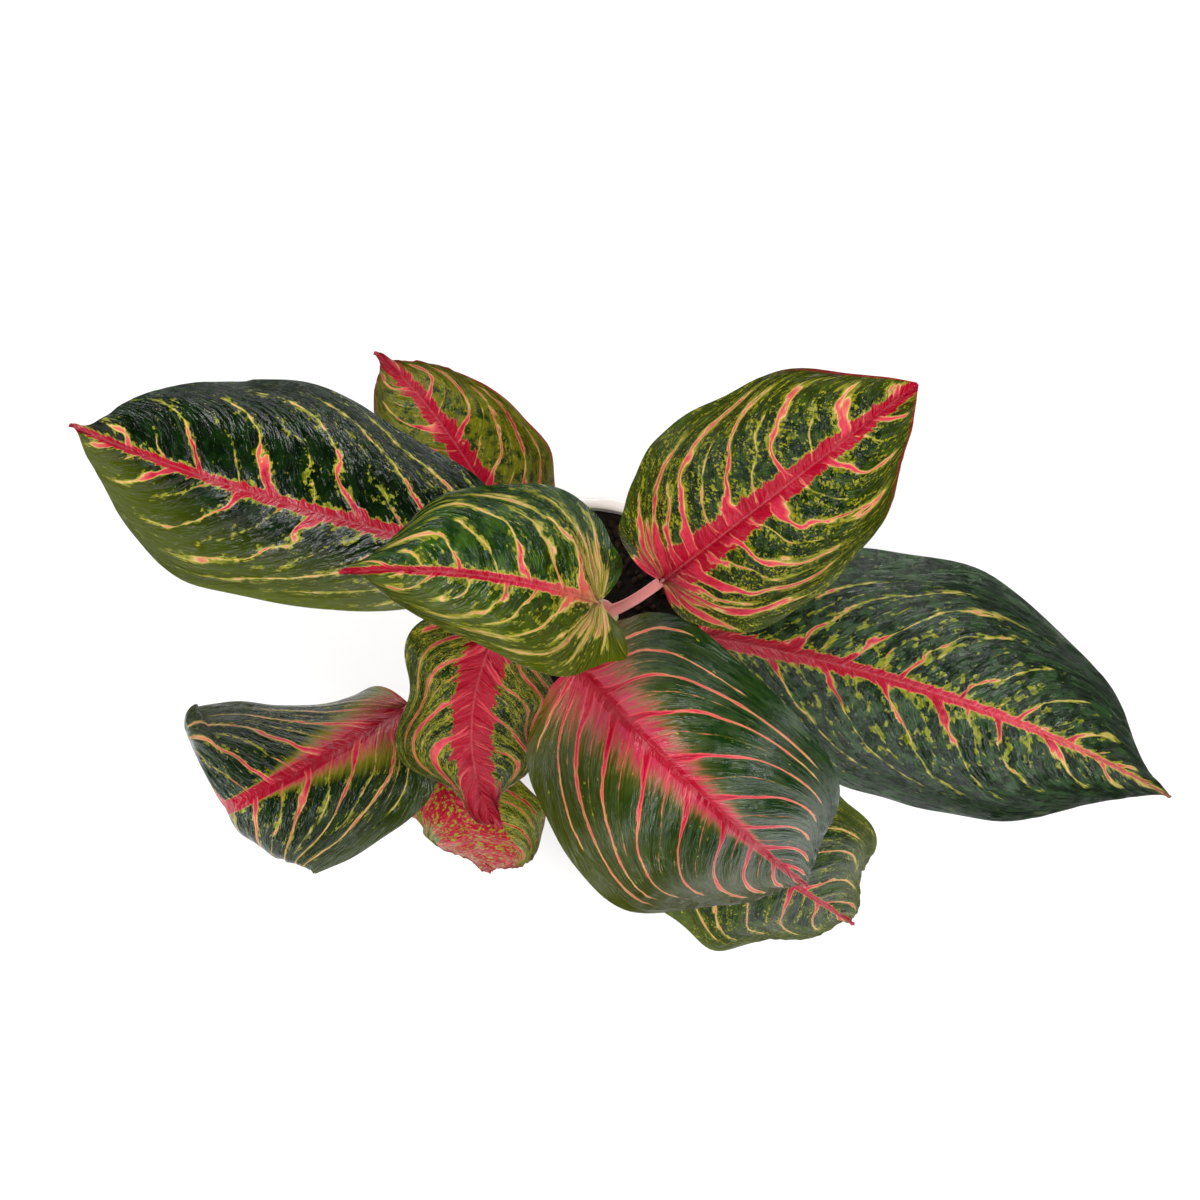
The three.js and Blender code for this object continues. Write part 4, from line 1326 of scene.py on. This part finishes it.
def cane_radius(cane, z, angle):
    """The radius with its leaf scars, which rounds off to a point at the top."""
    scar = round((z - SCAR_START) / SCAR_SPACING)
    slant = z + SCAR_SLANT * math.sin(angle + scar * SCAR_TURN)
    from_scar = (slant - SCAR_START + SCAR_SPACING / 2) % SCAR_SPACING - SCAR_SPACING / 2
    radius = cane.radius - SCAR_DEPTH + SCAR_RIDGE * math.exp(-(from_scar / SCAR_WIDTH) ** 2)
    to_top = clamp((cane.top - z) / CANE_TIP)
    return radius * mix(CANE_POINT, 1, math.sin(to_top * math.pi / 2) ** 0.7)


# Pot: how far the lip stands out, its step, the rounded foot and floor, the drain holes
LIP_PROUD = 1 * MM
LIP_STEP = 2 * MM
FOOT_ROUNDING = 2 * MM
FLOOR_FILLET = 6 * MM
DRAIN_HOLES = 4
DRAIN_RING = 22 * MM
DRAIN_SIDES = 32
POT_SIDES = 160


class MAKE_OT_pot(bpy.types.Operator):
    """Turns the glazed pot and drills its drain holes"""

    bl_idname = "aglaonema.pot"
    bl_label = "Pot"

    def execute(self, context):
        sizes = context.scene.aglaonema_pot
        mesh = new_mesh()
        add_turned(mesh, pot_profile(sizes), POT_SIDES)
        pot = finish_piece(mesh, "glazed_pot", "pot", "glaze", glaze_paint(sizes.glaze))
        drill(pot, sizes)
        return {"FINISHED"}


def pot_wall(sizes, z):
    """The wall's outer radius at a height."""
    step = sizes.height - sizes.lip_height
    return mix(sizes.foot_radius, sizes.rim_radius - LIP_PROUD, z / step)


def pot_profile(sizes):
    """The pot's section, from the middle of its underside over the lip to the middle inside."""
    step = sizes.height - sizes.lip_height
    roll = sizes.lip_width / 2
    inside = pot_wall(sizes, sizes.floor + FLOOR_FILLET) - sizes.wall
    profile = [(0, 0), (sizes.foot_radius * 0.5, 0)]
    profile += arc((sizes.foot_radius - FOOT_ROUNDING, FOOT_ROUNDING), FOOT_ROUNDING, -90, -10, 6)
    for share in (0.1, 0.25, 0.4, 0.55, 0.7, 0.85, 0.97):
        profile.append((pot_wall(sizes, step * share), step * share))
    profile.append((pot_wall(sizes, step), step))
    profile += arc((sizes.rim_radius - LIP_PROUD, step + LIP_STEP), LIP_PROUD, -60, 0, 4)
    profile += arc((sizes.rim_radius - roll, sizes.height - roll), roll, 0, 180, 14)
    for share in (0.98, 0.8, 0.6, 0.4, 0.2):
        profile.append((pot_wall(sizes, step * share) - sizes.wall, step * share))
    corner = (inside - FLOOR_FILLET, sizes.floor + FLOOR_FILLET)
    profile += arc(corner, FLOOR_FILLET, 0, -90, 6)
    profile.append((0, sizes.floor))
    return profile


def drill(pot, sizes):
    """Cuts the drain holes with a boolean and leaves no cutter behind."""
    cutters = bmesh.new()
    for hole in range(DRAIN_HOLES):
        angle = (hole + 0.5) / DRAIN_HOLES * 2 * math.pi
        spot = Vector((math.cos(angle) * DRAIN_RING, math.sin(angle) * DRAIN_RING, sizes.floor / 2))
        bmesh.ops.create_cone(
            cutters, cap_ends=True, segments=DRAIN_SIDES, radius1=sizes.drain_radius,
            radius2=sizes.drain_radius, depth=2 * sizes.floor, matrix=Matrix.Translation(spot),
        )
    tool = mesh_object(cutters, "cutters")
    cut = pot.modifiers.new("drain", "BOOLEAN")
    cut.object = tool
    cut.solver = "EXACT"
    evaluated = pot.evaluated_get(bpy.context.evaluated_depsgraph_get())
    drilled = bpy.data.meshes.new_from_object(evaluated)
    pot.modifiers.clear()
    pot.data = drilled
    bpy.data.objects.remove(tool)


# Soil: its level, its rounded edge, the gap to the wall, its humps and bumps and how close
# together they are
SOIL_LEVEL = 100 * MM
SOIL_EDGE = 3 * MM
SOIL_GAP = 0.3 * MM
SOIL_RINGS = 44
SOIL_SIDES = 128
HUMP_HEIGHT = 1.1
HUMPS = 60
BUMP_HEIGHT = 0.7
BUMPS = 240

# Crumbs: every few are slivers of bark, and the larger ones have more faces
CRUMB_SEED = 4
CRUMB_SIZES = (0.5, 1.7)
CRUMB_LENGTHS = (0.8, 1.4)
CRUMB_HEIGHTS = (0.4, 0.8)
SLIVER_EVERY = 6
SLIVER_LENGTHS = (1.6, 3.2)
CRUMB_TILT = 0.5
CRUMB_LIFT = 0.25
CRUMB_ROUGHNESS = 0.3
CRUMB_GRAIN = 900
CRUMB_MARGIN = 3 * MM
COARSE_FROM = 1.1 * MM


class MAKE_OT_soil(bpy.types.Operator):
    """Fills the pot with soil and strews crumbs on it"""

    bl_idname = "aglaonema.soil"
    bl_label = "Soil"

    def execute(self, context):
        sizes = context.scene.aglaonema_pot
        level = SOIL_LEVEL
        edge = pot_wall(sizes, level) - sizes.wall - SOIL_GAP
        bottom = SOIL_BOX[0].z
        mesh = new_mesh()
        profile = [(0, bottom), (pot_wall(sizes, bottom) - sizes.wall - SOIL_GAP * 2, bottom)]
        profile.append((edge - SOIL_GAP, level - SOIL_EDGE))
        profile += [(edge * (1 - ring / SOIL_RINGS), level) for ring in range(SOIL_RINGS)]
        profile.append((0, level))
        add_turned(mesh, profile, SOIL_SIDES)
        for vert in mesh.verts:
            if vert.co.z > level - SOIL_EDGE / 2:
                vert.co.z += soil_bump(vert.co.x, vert.co.y)
        paint = soil_paint("soil_bed", SOIL_DARK, SOIL_LIGHT)
        finish_piece(mesh, "soil_bed", "soil", "soil", paint)
        add_crumbs(sizes.crumbs, edge, level)
        return {"FINISHED"}


def soil_bump(x, y):
    """Height of the uneven soil over its level, in metres."""
    hump = noise.noise(Vector((x * HUMPS, y * HUMPS, 1.5)))
    bump = noise.noise(Vector((x * BUMPS, y * BUMPS, 4.5)))
    return hump * HUMP_HEIGHT * MM + bump * BUMP_HEIGHT * MM


def add_crumbs(count, edge, level):
    """Small lumps and slivers of peat and bark, lying on the soil."""
    draw = random.Random(CRUMB_SEED)
    noise.seed_set(CRUMB_SEED)
    mesh = new_mesh()
    for crumb in range(count):
        angle = draw.uniform(0, 2 * math.pi)
        radius = (edge - CRUMB_MARGIN) * math.sqrt(draw.random())
        x, y = radius * math.cos(angle), radius * math.sin(angle)
        size = draw.uniform(*CRUMB_SIZES) * MM
        long = draw.uniform(*(CRUMB_LENGTHS if crumb % SLIVER_EVERY else SLIVER_LENGTHS))
        turn = Matrix.Rotation(draw.uniform(0, math.pi), 4, "Z")
        tilt = Matrix.Rotation(draw.uniform(-CRUMB_TILT, CRUMB_TILT), 4, "Y")
        squash = Matrix.Diagonal((size * long, size, size * draw.uniform(*CRUMB_HEIGHTS), 1))
        place = Matrix.Translation((x, y, level + soil_bump(x, y) + size * CRUMB_LIFT))
        detail = 2 if size > COARSE_FROM else 1
        verts = bmesh.ops.create_icosphere(
            mesh, subdivisions=detail, radius=1, matrix=place @ turn @ tilt @ squash,
        )["verts"]
        for vert in verts:
            vert.co += noise.noise_vector(vert.co * CRUMB_GRAIN) * size * CRUMB_ROUGHNESS
    bmesh.ops.recalc_face_normals(mesh, faces=mesh.faces)
    paint = soil_paint("soil_crumbs", CRUMB_DARK, CRUMB_LIGHT)
    finish_piece(mesh, "soil_crumbs", None, "soil", paint)


# Stage: metres and watts. The small lamps stand where the leaves mirror them towards the camera
ROOM_LIGHT = 0.45
FLOOR_SIZE = 8.0
LIGHTS = [
    dict(name="overhead", place=(-0.3, 0.1, 3.6), size=(2.6, 2.1), power=40, mirrored=False),
    dict(name="high_right", place=(1.4, -0.5, 3.2), size=(1.0, 0.8), power=36),
    dict(name="left", place=(-2.9, -1.3, 1.9), size=(1.0, 0.8), power=42),
    dict(name="back", place=(-0.25, 2.95, 1.8), size=(1.0, 0.6), power=50),
    dict(name="front", place=(-0.1, -2.8, 2.0), size=(1.0, 0.6), power=34),
]
SENSOR_WIDTH = 36
LIT_HEIGHT = 0.2


class MAKE_OT_stage(bpy.types.Operator):
    """Lays the pale floor and sets the camera and the soft lights"""

    bl_idname = "aglaonema.stage"
    bl_label = "Stage"

    def execute(self, context):
        scene = context.scene
        sizes = scene.aglaonema_stage
        add_floor(sizes.floor_colour)
        add_camera(sizes)
        for light in LIGHTS:
            add_light(**light)
        world = bpy.data.worlds.new("studio")
        world.use_nodes = True
        background = world.node_tree.nodes["Background"]
        background.inputs["Color"].default_value = (1, 1, 1, 1)
        background.inputs["Strength"].default_value = ROOM_LIGHT
        scene.world = world
        world.cycles_visibility.glossy = False
        scene.view_settings.view_transform = "Standard"
        return {"FINISHED"}


def add_floor(colour):
    mesh = new_mesh()
    bmesh.ops.create_grid(mesh, x_segments=1, y_segments=1, size=FLOOR_SIZE / 2)
    paint = Paint("floor")
    x, y, z = paint.position()
    grain = paint.noise(paint.vector(x, y, z), 40, 2)
    paint.finish(paint.blend(colour, (1, 1, 1, 1), grain * 0.1), 0.8)
    mesh_object(mesh, "floor", paint.material)


def add_camera(sizes):
    """A camera that looks straight down."""
    data = bpy.data.cameras.new("camera")
    data.lens = sizes.lens
    data.sensor_width = SENSOR_WIDTH
    camera = add_object("camera", data)
    camera.location = (sizes.camera_x, sizes.camera_y, sizes.camera_height)
    bpy.context.scene.camera = camera


def add_light(name, place, size, power, mirrored=True):
    """A rectangular soft light that points at the middle of the plant.

    One that isn't mirrored lights the leaves without a gleam on them.
    """
    data = bpy.data.lights.new(name, "AREA")
    data.shape = "RECTANGLE"
    data.size, data.size_y = size
    data.energy = power
    light = add_object(name, data)
    light.location = place
    light.visible_glossy = mirrored
    towards = Vector((0, 0, LIT_HEIGHT)) - Vector(place)
    light.rotation_euler = towards.to_track_quat("-Z", "Y").to_euler()


# Add-on


class VIEW3D_PT_aglaonema(bpy.types.Panel):
    """Sizes and steps of the potted aglaonema"""

    bl_label = "Potted Aglaonema"
    bl_space_type = "VIEW_3D"
    bl_region_type = "UI"
    bl_category = "Aglaonema"

    def draw(self, context):
        scene = context.scene
        for operator, group in STEPS:
            box = self.layout.box()
            box.operator(operator.bl_idname)
            if group:
                settings = getattr(scene, group)
                for name in settings.__annotations__:
                    box.prop(settings, name)


GROUPS = {
    "aglaonema_leaves": LeafSizes,
    "aglaonema_pot": PotSizes,
    "aglaonema_stage": StageSizes,
}
STEPS = [
    (MAKE_OT_leaves, "aglaonema_leaves"),
    (MAKE_OT_canes, None),
    (MAKE_OT_pot, "aglaonema_pot"),
    (MAKE_OT_soil, None),
    (MAKE_OT_stage, "aglaonema_stage"),
]
CLASSES = [*GROUPS.values(), *(operator for operator, _ in STEPS), VIEW3D_PT_aglaonema]


def register():
    for cls in CLASSES:
        bpy.utils.register_class(cls)
    for name, group in GROUPS.items():
        setattr(bpy.types.Scene, name, bpy.props.PointerProperty(type=group))


def unregister():
    for name in GROUPS:
        delattr(bpy.types.Scene, name)
    for cls in reversed(CLASSES):
        bpy.utils.unregister_class(cls)


def main():
    register()
    for call in (
        bpy.ops.aglaonema.leaves,
        bpy.ops.aglaonema.canes,
        bpy.ops.aglaonema.pot,
        bpy.ops.aglaonema.soil,
        bpy.ops.aglaonema.stage,
    ):
        call()


if __name__ == "__main__":
    main()
